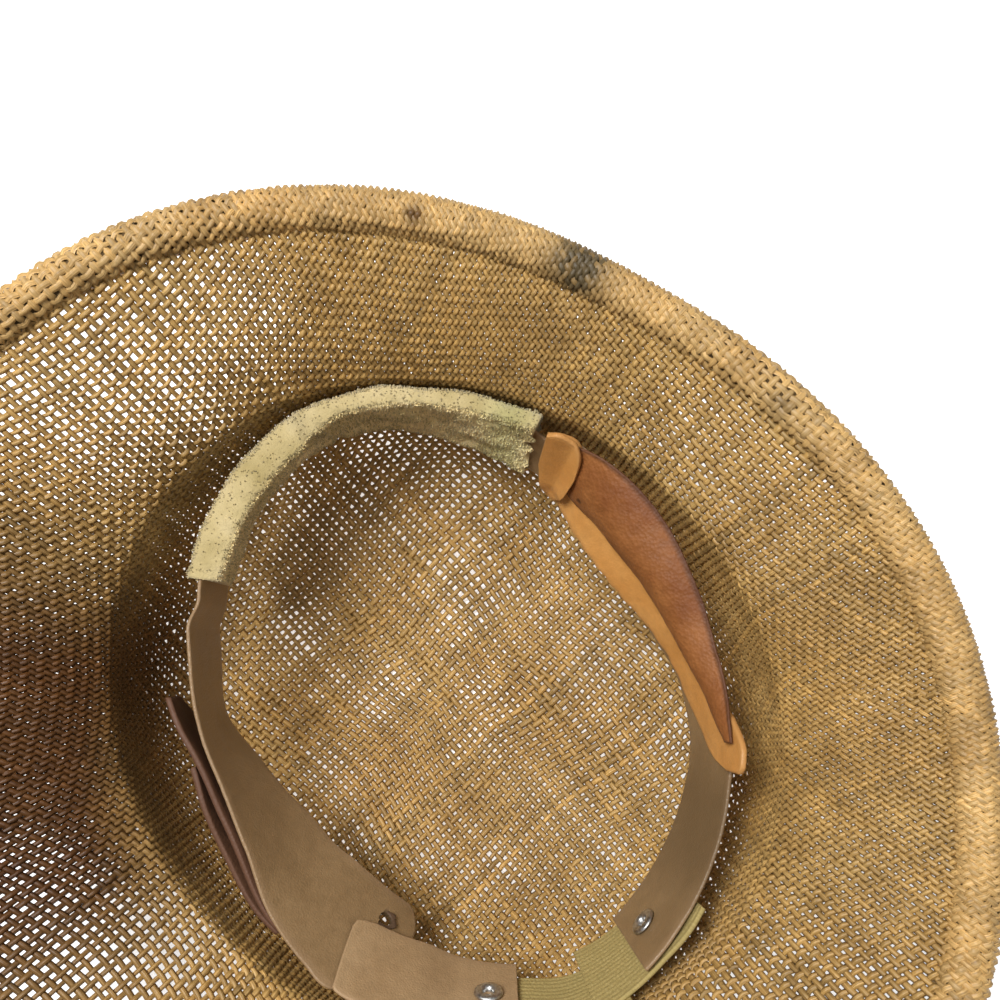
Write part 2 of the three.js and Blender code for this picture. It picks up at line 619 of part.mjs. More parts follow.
function shellGeometry(halfLength) {
  const inner = shellRings(halfLength);
  const outer = inner.map((ring, row) => ring.map((point, k) => {
    const before = inner[Math.max(row - 1, 0)][k];
    const after = inner[Math.min(row + 1, inner.length - 1)][k];
    const along = after.clone().sub(before);
    const [left, right] = [ring[(k + 1) % ring.length], ring[(k + ring.length - 1) % ring.length]];
    const around = left.clone().sub(right);
    const outward = around.cross(along).normalize();
    if (row === 0) outward.set(0, 0, -1);
    return point.clone().addScaledVector(outward, STRAW_THICKNESS);
  }));
  const top = new THREE.Vector3(CROWN_CENTRE.x, CROWN_CENTRE.y, STRAW_THICKNESS);
  const under = new THREE.Vector3(CROWN_CENTRE.x, CROWN_CENTRE.y, 0);
  return ringSolid([...inner, ...outer.reverse()], [top, under]);
}

function rollGeometry() {
  const radius = ROLL_DIAMETER / 2;
  const step = THREE.MathUtils.degToRad(TANGENT_STEP);
  const rings = Array.from({ length: SHELL_SEGMENTS }, (_, k) => {
    const angle = 2 * Math.PI * k / SHELL_SEGMENTS;
    const along = rimPoint(angle + step).sub(rimPoint(angle - step)).normalize();
    const up = new THREE.Vector3(0, 0, 1);
    const out = along.clone().cross(up).normalize();
    const lift = out.clone().cross(along).normalize();
    return Array.from({ length: ROLL_SIDES }, (_unused, side) => {
      const around = 2 * Math.PI * side / ROLL_SIDES;
      return rimPoint(angle)
        .addScaledVector(out, radius * Math.cos(around))
        .addScaledVector(lift, radius * Math.sin(around));
    });
  });
  return ringSolid(rings, null);
}

const straw = new THREE.MeshStandardMaterial({ color: 0xb88d55, roughness: 0.75 });
const strawRoll = new THREE.MeshStandardMaterial({ color: 0xc19a62, roughness: 0.75 });
const tanLeather = new THREE.MeshStandardMaterial({ color: 0x9b7750, roughness: 0.6 });
const orangeLeather = new THREE.MeshStandardMaterial({ color: 0xc78038, roughness: 0.55 });
const roughLeather = new THREE.MeshStandardMaterial({ color: 0xa4683a, roughness: 0.8 });
const towelling = new THREE.MeshStandardMaterial({ color: 0xc9bd82, roughness: 0.95 });
const webbing = new THREE.MeshStandardMaterial({ color: 0xa39250, roughness: 0.85 });
const steel = new THREE.MeshStandardMaterial({ color: 0xb9bbbd, roughness: 0.35, metalness: 1 });

const hung = {
  headband: [headbandGeometry(), tanLeather],
  sweat_pad: [padGeometry(), towelling],
  side_leaf_right: [leafRightGeometry(), orangeLeather],
  side_bolster_right: [bolsterRightGeometry(), roughLeather],
  side_lobe_right: [lobeRightGeometry(), orangeLeather],
  side_leaf_left: [leafLeftGeometry(), orangeLeather],
  side_bolster_left: [bolsterLeftGeometry(), roughLeather],
  back_strap: [backStrapGeometry(), tanLeather],
  elastic_left: [elasticLeftGeometry(), webbing],
  elastic_right: [elasticRightGeometry(), webbing],
  rivet_back: [rivetGeometry(RIVET_PLACES.rivet_back), steel],
  rivet_right: [rivetGeometry(RIVET_PLACES.rivet_right), steel],
};
const halfLength = openingHalfLength(Object.values(hung).map(([geometry]) => geometry));
const pieces = {
  woven_shell: [shellGeometry(halfLength), straw],
  rolled_rim: [rollGeometry(), strawRoll],
  ...hung,
};

const helmet = new THREE.Group();
for (const [name, [geometry, material]] of Object.entries(pieces)) {
  const mesh = new THREE.Mesh(geometry, material);
  mesh.name = name;
  helmet.add(mesh);
}

export default helmet;
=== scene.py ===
"""A pith helmet of woven straw lying crown down, with its rolled edge, leather headband and towelling pad."""
import json
import math

import bpy
import numpy as np
from mathutils import Matrix, Vector

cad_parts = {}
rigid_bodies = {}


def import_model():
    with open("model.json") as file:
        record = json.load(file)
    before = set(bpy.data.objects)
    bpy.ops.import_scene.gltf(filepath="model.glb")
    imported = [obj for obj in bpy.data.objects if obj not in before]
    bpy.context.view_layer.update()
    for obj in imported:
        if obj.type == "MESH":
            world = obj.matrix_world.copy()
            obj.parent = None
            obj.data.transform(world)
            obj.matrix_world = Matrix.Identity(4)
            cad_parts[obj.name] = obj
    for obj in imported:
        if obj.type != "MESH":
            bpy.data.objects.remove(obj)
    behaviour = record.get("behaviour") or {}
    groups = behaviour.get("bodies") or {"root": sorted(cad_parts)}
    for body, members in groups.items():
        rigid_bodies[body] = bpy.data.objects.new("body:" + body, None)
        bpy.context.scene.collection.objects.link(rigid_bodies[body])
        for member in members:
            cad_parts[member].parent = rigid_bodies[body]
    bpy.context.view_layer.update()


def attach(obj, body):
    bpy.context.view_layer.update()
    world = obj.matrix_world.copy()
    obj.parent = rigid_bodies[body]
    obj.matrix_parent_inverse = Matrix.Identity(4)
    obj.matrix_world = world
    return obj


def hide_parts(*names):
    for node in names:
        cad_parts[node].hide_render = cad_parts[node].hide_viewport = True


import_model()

MM = 0.001

# Sizes shared with the part's source, in mm
RIM_LENGTH, RIM_WIDTH = 322.0, 289.0
ROLL_RADIUS = 6.8
CROWN_DEPTH, BRIM_RISE, BRIM_WAVE = 98.0, 42.5, 4.9
STRAW_THICKNESS = 2.4
CROWN_ASPECT = 0.868
BAND_RADIUS, BAND_WIDTH, BAND_THICKNESS = 90.0, 38.0, 2.2
LEAF_THICKNESS = 1.8
BOLSTER_SWELL, BOLSTER_EDGE, BOLSTER_BOW = 6.5, 0.9, 1.6
LEAF_FLARE = 5.0
PAD_THICKNESS = 2.6
ELASTIC_THICKNESS = 1.4
CLEARANCE = 0.3
BAND_CENTRE = np.array([-16.5, 4.5])
CROWN_CENTRE = BAND_CENTRE + np.array([2.5, -2.0])


def table(names, *rows):
    """A table of named columns as arrays."""
    columns = np.array(rows, float).T
    return dict(zip(names.split(), columns))


BAND_SECTIONS = table(
    "turn reach lean",
    (0, 0.955, 36), (15, 1.03, 36), (30, 1.085, 27), (45, 1.111, 19), (60, 1.144, 16), (75, 1.117, 13),
    (90, 1.07, 12), (105, 1.024, 10), (120, 0.983, 9), (135, 0.972, 16), (150, 0.972, 27), (165, 1.0, 36),
    (180, 1.028, 34), (195, 1.061, 21), (210, 1.072, 11), (225, 1.115, 4), (240, 1.16, 0), (255, 1.156, 0),
    (270, 1.11, 1), (285, 1.044, 1), (300, 0.951, 0), (315, 0.902, 0), (330, 0.861, 10), (345, 0.874, 22))
RIM_HALF = ((10, -2.6), (26, -1.6), (45, -0.2), (100, 0.8), (130, 2.3), (148, 3.6), (163, 2.2), (177, -0.4))
RIM_SECTIONS = table("turn out", *RIM_HALF, *((turn + 180, out) for turn, out in RIM_HALF))
CROWN_SECTIONS = table(
    "height spread",
    (0, 0.28), (0.03, 0.42), (0.09, 0.585), (0.19, 0.745), (0.32, 0.865), (0.46, 0.94), (0.62, 0.98),
    (0.82, 0.996), (1, 1))
BRIM_SECTIONS = table(
    "out up", (0.05, 0.12), (0.15, 0.29), (0.31, 0.48), (0.5, 0.66), (0.74, 0.84), (1, 1))
PAD_START, PAD_END, TUCK_MARGIN, TUCK_RUN = 203.6, 286, 4, 6
BAND_OUTLINE = table(
    "turn upper lower",
    (76, 0, 1), (112, 0, 1), (117, 0, 1), (126, 0.21, 1), (200, 0.21, 1), (206, 0.06, 1), (211, 0.02, 1),
    (217, 0.015, 1), (292, 0, 1), (324, 0, 0.97), (336, 0, 0.92), (346, 0, 0.97), (362, 0, 1.03),
    (370, 0, 1.08), (377, 0, 1.12), (381, 0.3, 1.16), (384, 0.55, 1.17), (386.5, 0.74, 1.08),
    (387.6, 0.86, 0.96))
HOLE_PLACE, PUNCHED_HOLE = (378.8, 0.85), 4.4
LEAF_RIGHT = table(
    "turn upper lower",
    (116, -0.33, -0.1), (117.5, -0.38, 0.2), (121, -0.36, 0.46), (126, -0.12, 0.68), (131, 0.22, 0.81),
    (145, 0.26, 0.88), (158, 0.26, 1), (180, 0.3, 1.05), (189, 0.3, 1.05), (194, 0.14, 1.03),
    (198, 0.04, 0.88), (200.6, 0.1, 0.55))
BOLSTER_RIGHT = table(
    "turn upper lower swell",
    (121.5, -0.24, -0.1, 0.05), (126.5, -0.16, 0.16, 0.3), (134, -0.04, 0.37, 0.6), (144, 0.02, 0.49, 0.85),
    (155, 0.03, 0.59, 1), (166, 0.04, 0.67, 1), (180, 0.03, 0.71, 0.85), (188, 0.07, 0.76, 0.35),
    (194, 0.16, 0.74, 0.02))
LOBE_RIGHT = table(
    "turn upper lower",
    (189.8, 0.44, 0.7), (191, 0.2, 0.92), (193, 0.07, 1.02), (195.5, 0, 1), (198.4, -0.05, 0.86),
    (200.4, 0, 0.52))
LOBE_SETTLE, LOBE_RUN = (0.78, 0.96), 6
LEAF_LEFT = table(
    "turn upper lower flare",
    (309, 0.02, 0.3, 1), (315, -0.05, 0.6, 0.55), (322, -0.06, 0.78, 0.12), (335, -0.04, 0.86, 0),
    (352, 0, 0.8, 0), (364, 0.06, 0.6, 0), (370, 0.2, 0.42, 0))
BOLSTER_LEFT = table(
    "turn upper lower bow",
    (324, -0.06, 0.1, 0), (333, -0.08, 0.26, 0.8), (344, -0.05, 0.3, 1), (355, 0, 0.28, 0.7),
    (363, 0.06, 0.16, 0))
BACK_STRAP = table(
    "turn upper lower over",
    (372.8, 0.54, 0.58, 1), (374.6, 0.3, 0.63, 1), (376.1, 0.08, 0.66, 1), (377, -0.04, 0.68, 1),
    (384, -0.03, 0.77, 1), (392, -0.03, 0.86, 1), (399, -0.03, 0.92, 0.1), (402, -0.03, 0.93, 0),
    (411.5, -0.04, 0.92, 0))
ELASTIC_LEFT = table("turn upper lower", (42, 0, 0.84), (58, -0.06, 0.8), (71, -0.06, 0.76))
ELASTIC_RIGHT = table(
    "turn upper lower", (65, 0.04, 1.02), (78, 0.02, 0.98), (86, -0.05, 0.9), (90.5, -0.06, 0.86))
ELASTIC_SINK = (52, 63)
RIVET_PLACES = {"rivet_back": (46, 0.48), "rivet_right": (81, 0.5)}


# Numbers
def smoothstep(x, low, high):
    share = np.clip((np.asarray(x, float) - low) / (high - low), 0, 1)
    return share * share * (3 - 2 * share)


def hermite(knots, values, at):
    """Cubic through values at uneven knots, with slopes as in the part's source; values may be points."""
    knots, values, at = np.asarray(knots, float), np.asarray(values, float), np.asarray(at, float)
    low = np.clip(np.searchsorted(knots, at, side="right") - 1, 0, len(knots) - 2)
    before, after = np.maximum(low - 1, 0), np.minimum(low + 2, len(knots) - 1)
    shape = at.shape + (1,) * (values.ndim - 1)
    span = (knots[low + 1] - knots[low]).reshape(shape)
    share = np.clip((at - knots[low]).reshape(shape) / span, 0, 1)
    start = (values[low + 1] - values[before]) / (knots[low + 1] - knots[before]).reshape(shape) * span
    end = (values[after] - values[low]) / (knots[after] - knots[low]).reshape(shape) * span
    square, cube = share ** 2, share ** 3
    return ((2 * cube - 3 * square + 1) * values[low] + (cube - 2 * square + share) * start
            + (3 * square - 2 * cube) * values[low + 1] + (cube - square) * end)


def row_value(rows, column, turn, closed=False):
    knots, values = rows["turn"], rows[column]
    if closed:
        knots = np.concatenate([knots[-2:] - 360, knots, knots[:3] + 360])
        values = np.concatenate([values[-2:], values, values[:3]])
        return hermite(knots, values, np.mod(turn, 360))
    return hermite(knots, values, np.clip(turn, knots[0], knots[-1]))


def unit(vectors):
    return vectors / np.maximum(np.linalg.norm(vectors, axis=-1, keepdims=True), 1e-9)


class Waves:
    """Smooth seeded noise of a few sine waves in any number of coordinates, about -1 to 1."""

    def __init__(self, seed, dims, length, count=9):
        own = np.random.default_rng(seed)
        ways = own.normal(size=(count, dims))
        ways /= np.linalg.norm(ways, axis=1, keepdims=True)
        self.ways = ways * (2 * math.pi / length) * own.uniform(0.6, 1.5, (count, 1))
        self.phases = own.uniform(0, 2 * math.pi, count)

    def __call__(self, *coords):
        point = np.stack(np.broadcast_arrays(*coords), -1).astype(float)
        return np.sin(point @ self.ways.T + self.phases).sum(-1) / math.sqrt(len(self.phases) * 0.9)


# Meshes
def make_piece(name, verts, faces, material, uv=None, tint=None, smooth=True, replaces=()):
    """A mesh piece from points in mm and an array of quads or triangles; uv and tint are per point."""
    mesh = bpy.data.meshes.new(name)
    verts = np.asarray(verts, np.float32).reshape(-1, 3) * MM
    faces = np.asarray(faces, np.int32)
    sides = faces.shape[1]
    mesh.vertices.add(len(verts))
    mesh.vertices.foreach_set("co", verts.ravel())
    mesh.loops.add(faces.size)
    mesh.loops.foreach_set("vertex_index", faces.ravel())
    mesh.polygons.add(len(faces))
    mesh.polygons.foreach_set("loop_start", np.arange(0, faces.size, sides, dtype=np.int32))
    mesh.update(calc_edges=True)
    mesh.polygons.foreach_set("use_smooth", np.full(len(faces), smooth))
    if uv is not None:
        layer = mesh.uv_layers.new(name="weave")
        layer.data.foreach_set("uv", np.asarray(uv, np.float32)[faces.ravel()].ravel())
    if tint is not None:
        colour = mesh.color_attributes.new("tint", "FLOAT_COLOR", "POINT")
        rgba = np.ones((len(verts), 4), np.float32)
        rgba[:, :3] = tint
        colour.data.foreach_set("color", rgba.ravel())
    mesh.materials.append(material)
    piece = bpy.data.objects.new(name, mesh)
    bpy.context.scene.collection.objects.link(piece)
    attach(piece, "root")
    if replaces:
        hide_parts(*replaces)
    return piece


def grid_faces(rows, columns, close_rows=False, close_columns=False, start=0):
    """Quads between neighbours of a grid of rows by columns of points."""
    i = np.arange(rows if close_rows else rows - 1)[:, None]
    j = np.arange(columns if close_columns else columns - 1)[None, :]
    i2, j2 = (i + 1) % rows, (j + 1) % columns
    corners = [i * columns + j, i2 * columns + j, i2 * columns + j2, i * columns + j2]
    return start + np.stack([c.ravel() for c in np.broadcast_arrays(*corners)], -1)


def closed_strip(grid):
    """Points and triangles of a tube over rows of points, each end closed by a fan round its middle."""
    rows, count = grid.shape[:2]
    quads = grid_faces(rows, count, close_columns=True)
    triangles, middles = [quads[:, [0, 1, 2]], quads[:, [0, 2, 3]]], []
    for number, row in enumerate((0, rows - 1)):
        ring = np.arange(count) + row * count
        fan = np.stack([ring, np.roll(ring, -1), np.full(count, rows * count + number)], -1)
        triangles.append(fan[:, ::-1] if number else fan)
        middles.append(grid[row].mean(0))
    return np.concatenate([grid.reshape(-1, 3), middles]), np.concatenate(triangles)


# The headband's surface
def band_edge(turn):
    turn = np.asarray(turn, float)
    reach = BAND_RADIUS * row_value(BAND_SECTIONS, "reach", turn, True)
    angle = np.radians(turn)
    return np.stack([BAND_CENTRE[0] + reach * np.cos(angle), BAND_CENTRE[1] + reach * np.sin(angle),
                     np.full(turn.shape, CROWN_DEPTH)], -1)


def band_frame(turn):
    along = unit(band_edge(turn + 1.0) - band_edge(turn - 1.0))
    outward = np.stack([along[..., 1], -along[..., 0], np.zeros(along.shape[:-1])], -1)
    up = np.array([0.0, 0.0, 1.0])
    lean = np.radians(row_value(BAND_SECTIONS, "lean", turn, True))[..., None]
    down = -np.sin(lean) * outward - np.cos(lean) * up
    inward = -np.cos(lean) * outward + np.sin(lean) * up
    return along, down, inward


def band_point(turn, drop, depth):
    turn, drop, depth = np.broadcast_arrays(np.asarray(turn, float), drop, depth)
    _, down, inward = band_frame(turn)
    return band_edge(turn) + down * (drop * BAND_WIDTH)[..., None] + inward * depth[..., None]


def band_shift(turn):
    inside = np.minimum(turn - PAD_START, PAD_END - turn) + TUCK_MARGIN
    return smoothstep(inside, -TUCK_RUN, 0) * (PAD_THICKNESS + CLEARANCE)


LEAF_BACK = BAND_THICKNESS + CLEARANCE
LEAF_FACE = LEAF_BACK + LEAF_THICKNESS
BOLSTER_BACK = LEAF_FACE + CLEARANCE
LEFT_LEAF_FACE = -CLEARANCE
LEFT_LEAF_BACK = LEFT_LEAF_FACE - LEAF_THICKNESS
LEFT_BOLSTER_FACE = LEFT_LEAF_BACK - CLEARANCE
STRAP_OVERLAP = BAND_THICKNESS + CLEARANCE
ELASTIC_RIGHT_FACE = -CLEARANCE
ELASTIC_RIGHT_BACK = ELASTIC_RIGHT_FACE - ELASTIC_THICKNESS
ELASTIC_LEFT_FACE = ELASTIC_RIGHT_BACK - CLEARANCE


# The straw surface
def opening_half_length():
    """Half length of the crown's opening, read off the CAD shell at the headband's upper edge."""
    mesh = bpy.data.objects["woven_shell"].data
    co = np.empty(len(mesh.vertices) * 3)
    mesh.vertices.foreach_get("co", co)
    co = co.reshape(-1, 3) / MM
    level = co[np.abs(co[:, 2] - CROWN_DEPTH) < 0.05]
    reach = np.hypot((level[:, 0] - CROWN_CENTRE[0]) / CROWN_ASPECT, level[:, 1] - CROWN_CENTRE[1])
    return reach.min()


HALF_LENGTH = opening_half_length()
ANGLES = np.radians(np.arange(0, 360, 0.5))


def rim_point(angle):
    out = row_value(RIM_SECTIONS, "out", np.degrees(angle), True)
    return np.stack([(RIM_WIDTH / 2 + out) * np.cos(angle), (RIM_LENGTH / 2 + out) * np.sin(angle),
                     CROWN_DEPTH + BRIM_RISE + BRIM_WAVE * np.cos(2 * (angle + math.pi / 2))], -1)


def rim_frame(angle):
    along = unit(rim_point(angle + 0.01) - rim_point(angle - 0.01))
    out = unit(np.cross(along, [0.0, 0.0, 1.0]))
    lift = unit(np.cross(out, along))
    return along, out, lift


def shell_rows():
    """Rows of points down the inner face of crown and brim, one column for each of ANGLES."""
    def opening(spread, height):
        return np.stack([CROWN_CENTRE[0] + CROWN_ASPECT * HALF_LENGTH * spread * np.cos(ANGLES),
                         CROWN_CENTRE[1] + HALF_LENGTH * spread * np.sin(ANGLES),
                         np.full(ANGLES.shape, float(height))], -1)
    rows = [opening(0.0, STRAW_THICKNESS), opening(0.14, STRAW_THICKNESS)]
    for height, spread in zip(CROWN_SECTIONS["height"], CROWN_SECTIONS["spread"]):
        rows.append(opening(spread, STRAW_THICKNESS + (CROWN_DEPTH - STRAW_THICKNESS) * height))
    start, rim = opening(1.0, CROWN_DEPTH), rim_point(ANGLES)
    across = rim - start
    rise = across[:, 2].copy()
    across[:, 2] = 0
    reach = np.linalg.norm(across, axis=1)
    out, up = BRIM_SECTIONS["out"], BRIM_SECTIONS["up"]
    width = reach - 0.85 * ROLL_RADIUS
    for share_out, share_up in zip(out, up):
        row = start + unit(across) * (share_out * width)[:, None]
        row[:, 2] += share_up * rise
        rows.append(row)
    return np.array(rows)


class Sheet:
    """A woven surface over ANGLES and a share from its inner to its outer edge, with cloth coordinates.

    The cloth is one flat square lattice drawn over the crown: on the lattice's own axes it keeps its
    pitch, and between them it shears, as a real tabby does.
    """
    AXIS = math.radians(-7.5)
    DRAW_IN = 0.1

    def __init__(self, points, arc, length):
        self.points, self.arc, self.length = points, arc, length
        rows = points.shape[0]
        wrapped = np.concatenate([points[:, -1:], points, points[:, :1]], 1)
        around = wrapped[:, 2:] - wrapped[:, :-2]
        along = np.gradient(points, axis=0)
        normal = np.cross(around, along)
        if rows > 2:
            normal[0] = normal[1]
        self.normals = unit(normal)
        flat = points[..., :2] - CROWN_CENTRE
        self.radius = np.linalg.norm(flat, axis=-1)
        polar = np.arctan2(flat[..., 1], flat[..., 0])
        self.skew = np.angle(np.exp(1j * (polar - ANGLES[None, :])))
        self.skew[self.radius < 1] = 0

    def sample(self, grid, angle, share):
        """Bilinear look-up of one of the sheet's grids."""
        rows, columns = grid.shape[:2]
        r = np.clip(share, 0, 1) * (rows - 1)
        c = np.mod(angle / (2 * math.pi), 1) * columns
        r0 = np.minimum(r.astype(int), rows - 2)
        c0 = c.astype(int) % columns
        c1 = (c0 + 1) % columns
        fr, fc = r - r0, c - c.astype(int)
        if grid.ndim == 3:
            fr, fc = fr[..., None], fc[..., None]
        top = grid[r0, c0] * (1 - fc) + grid[r0, c1] * fc
        low = grid[r0 + 1, c0] * (1 - fc) + grid[r0 + 1, c1] * fc
        return top * (1 - fr) + low * fr

    def place(self, u, v):
        """Angle and share on the sheet of the cloth's point u, v in mm."""
        sigma, psi = np.hypot(u, v), np.arctan2(v, u)
        phi, share = psi.copy(), np.full(u.shape, 0.5)
        angle = phi + self.AXIS
        for _ in range(24):
            arc = np.maximum(sigma / (1 - self.DRAW_IN * np.sin(2 * phi) ** 2), 1e-3)
            start, length = self.at_angle(angle)
            share = (arc - start) / length
            radius = self.sample(self.radius, angle, share)
            k = np.clip(1 - radius / arc, 0, 0.6)
            phi = psi + k * np.sin(4 * phi) / 4
            angle = phi + self.AXIS - self.sample(self.skew, angle, share)
        return angle, share

    def at_angle(self, angle):
        columns = len(self.arc)
        c = np.mod(angle / (2 * math.pi), 1) * columns
        c0 = c.astype(int) % columns
        f = c - c.astype(int)
        c1 = (c0 + 1) % columns
        return (self.arc[c0] * (1 - f) + self.arc[c1] * f, self.length[c0] * (1 - f) + self.length[c1] * f)


def shell_sheet():
    rows = shell_rows()
    gaps = np.linalg.norm(np.diff(rows, axis=0), axis=-1)
    knots = np.concatenate([[0], np.cumsum(gaps.mean(1))])
    dense = hermite(knots, rows, np.linspace(0, knots[-1], 500))
    steps = np.linalg.norm(np.diff(dense, axis=0), axis=-1)
    length = steps.sum(0)
    return Sheet(dense, np.zeros(len(ANGLES)), length)


def roll_sheet(shell, radius, start_turn, sweep):
    """The cloth's edge wound round the roll: from the brim's end over the top, out and under."""
    _, out, lift = rim_frame(ANGLES)
    turns = np.radians(start_turn + np.linspace(0, sweep, 90))[:, None, None]
    points = rim_point(ANGLES)[None] - radius * (np.cos(turns) * out[None] - np.sin(turns) * lift[None])
    length = np.full(len(ANGLES), radius * math.radians(sweep))
    return Sheet(points, shell.length + 1.0, length)


# Weaving
PITCH = 2.8
STRAND_THICKNESS = 1.2
SAMPLE_OFFSETS = (-0.23, 0.23)


def strands(sheet, pitch, width_at, section, seed, margin=0.0, crimp=(0.3, 0.7)):
    """Both families of strands over a sheet: points, quads, uv, tone, and centre points for colouring.

    width_at gives a strand's width in mm from surface points; where the cloth shears, it has less room.
    crimp says how far each family waves over and under the other.
    """
    reach = int(math.ceil((sheet.arc + sheet.length).max() / pitch)) + 2
    lines = np.arange(-reach, reach + 1)
    stations = (lines[:, None] + np.array(SAMPLE_OFFSETS)[None, :]).ravel()
    rise = np.cos(math.pi * stations)
    all_points, all_faces, all_uv, all_tone, all_centre = [], [], [], [], []
    offset = 0
    for family in (0, 1):
        own = np.random.default_rng(seed + family)
        line, station = np.meshgrid(lines.astype(float), stations, indexing="ij")
        phase = own.uniform(0, 2 * math.pi, (len(lines), 2))
        drift = 0.05 * np.sin(station / 5.3 + phase[:, :1]) + 0.05 * np.sin(station / 2.1 + phase[:, 1:])
        shift = own.normal(0, 0.05, (len(lines), 1))
        across = (line + drift + shift) * pitch
        along = station * pitch
        sign = np.where(line % 2 == 0, 1.0, -1.0) * (1 if family == 0 else -1)
        height = sign * rise[None, :] * crimp[family]
        height = height + own.normal(0, 0.05, height.shape)
        uv_cloth = (across, along) if family == 0 else (along, across)
        angle, share = sheet.place(*uv_cloth)
        centre = sheet.sample(sheet.points, angle, share)
        normal = unit(sheet.sample(sheet.normals, angle, share))
        beside = (across + 0.3 * pitch, along) if family == 0 else (along, across + 0.3 * pitch)
        beside_point = sheet.sample(sheet.points, *sheet.place(*beside))
        tangent = unit(np.gradient(centre, axis=1))
        side = beside_point - centre
        side = side - (side * tangent).sum(-1, keepdims=True) * tangent
        side = side - (side * normal).sum(-1, keepdims=True) * normal
        room = np.linalg.norm(side, axis=-1) / 0.3
        side = unit(side)
        size = own.normal(1, 0.09, (len(lines), 1))
        size = np.clip(size + 0.07 * np.sin(station / 3.7 + phase[:, 1:] * 2), 0.75, 1.2)
        width = np.clip(width_at(centre, family) * size, 0.7, np.maximum(0.96 * room, 0.75))
        inside = (share > -margin) & (share < 1 + margin)
        tone = own.normal(0, 1, (len(lines), 1)) + 0.5 * np.sin(station / 6.1 + phase[:, :1] * 3)
        body = centre - normal * height[..., None]
        ring = [body + side * (x * width / 2)[..., None] - normal * (z * STRAND_THICKNESS / 2)
                for x, z in section["ring"]]
        count = len(ring)
        points = np.stack(ring, 2)
        number = np.full(inside.shape, -1)
        number[inside] = np.arange(inside.sum())
        all_points.append(points[inside].reshape(-1, 3))
        shares = np.broadcast_to(np.array(section["across"])[None, None, :], points.shape[:3])
        lengths = np.broadcast_to((along * 1.0)[..., None], points.shape[:3])
        all_uv.append(np.stack([shares[inside], lengths[inside] / 10], -1).reshape(-1, 2))
        all_tone.append(np.repeat(tone[inside], count))
        all_centre.append(np.repeat(centre[inside], count, axis=0))
        joined = inside[:, :-1] & inside[:, 1:]
        a, b = number[:, :-1][joined] * count, number[:, 1:][joined] * count
        loops = count if section["closed"] else count - 1
        for k in range(loops):
            k2 = (k + 1) % count
            all_faces.append(offset + np.stack([a + k, b + k, b + k2, a + k2], -1))
        offset += inside.sum() * count
    return (np.concatenate(all_points), np.concatenate(all_faces), np.concatenate(all_uv),
            np.concatenate(all_tone), np.concatenate(all_centre))


LENS = {"ring": ((-1, 0.0), (0, 1.0), (1, 0.0), (0, -1.0)), "across": (0, 0.5, 1, 0.5), "closed": True}
RIBBON = {"ring": ((-1, -0.8), (0, 1.0), (1, -0.8)), "across": (0, 0.5, 1), "closed": False}


def image_angle(points):
    """Direction of points from the brim's middle in degrees, 0 along +X."""
    return np.degrees(np.arctan2(points[:, 1], points[:, 0]))


def angular(angle, centre, full, width):
    """1 within full degrees of a direction, falling to 0 at width degrees from it."""
    off = np.abs((angle - centre + 180) % 360 - 180)
    return 1 - smoothstep(off, full, width)


crown_bands = Waves(3, 2, 46, 5)
slack = Waves(5, 3, 70, 9)

# Places where the cloth is drawn apart (negative) or packed: x, y, z, spread and change of width, all in mm
SLACK_PATCHES = (
    (-14, -149, 144, 12, -0.45), (-4, -129, 128, 14, -0.32), (-19, -129, 128, 9, -0.15),
    (-45, -122, 127, 13, -0.32), (-65, -119, 133, 12, -0.28), (-29, -120, 120, 9, -0.38),
    (95, -61, 124, 9, -0.5), (92, -47, 118, 8, -0.35), (107, -33, 124, 14, -0.3), (87, -18, 107, 13, -0.4),
    (84, 4, 100, 13, -0.45), (80, 25, 92, 10, -0.4), (56, -69, 58, 8, -0.3), (86, -37, 110, 12, 0.15),
    (63, -81, 112, 26, 0.35), (31, -99, 103, 20, 0.2), (-57, -97, 92, 12, 0.35), (-101, -79, 127, 22, 0.25),
    (-121, -41, 127, 18, 0.2), (-98, 99, 136, 16, -0.3), (-127, 38, 133, 14, -0.2),
    (-55, 119, 125, 18, -0.15), (-66, 134, 143, 12, -0.2), (-133, 8, 133, 12, 0.1),
    (-45, -55, 13, 5, -0.45), (9, -60, 13, 7, -0.45), (37, -66, 27, 5, -0.6), (-34, -17, 2, 8, -0.35),
    (-25, 10, 2, 5, -0.45), (9, -19, 3, 8, -0.45), (40, -18, 11, 7, -0.5), (21, 10, 4, 6, -0.4),
    (51, 14, 17, 6, -0.4), (41, 37, 15, 6, -0.4), (-5, 48, 5, 5, -0.45), (-8, 29, 2, 5, -0.3),
    (22, 55, 12, 5, -0.4), (18, 72, 18, 5, -0.3), (-77, 27, 17, 5, -0.45), (-84, -3, 20, 5, -0.45),
    (-74, 52, 22, 5, -0.4), (-59, 73, 25, 5, -0.35), (11, 93, 32, 6, -0.45), (-11, 95, 30, 5, -0.35),
    (-69, -77, 42, 7, -0.4), (-40, -90, 35, 6, -0.3), (50, -36, 21, 8, 0.2), (-14, -42, 5, 8, 0.2),
    (-70, -11, 11, 10, 0.2), (-38, 36, 5, 9, 0.15), (16, 31, 5, 10, 0.15), (58, 33, 25, 10, 0.2),
    (-27, 64, 11, 8, 0.2), (62, 35.5, 30.5, 3, -1.2),
)


SHELL_STRAND, BRIM_STRAND_LESS, STRAND_LIMITS = 2.1, 0.24, (1.0, 2.7)


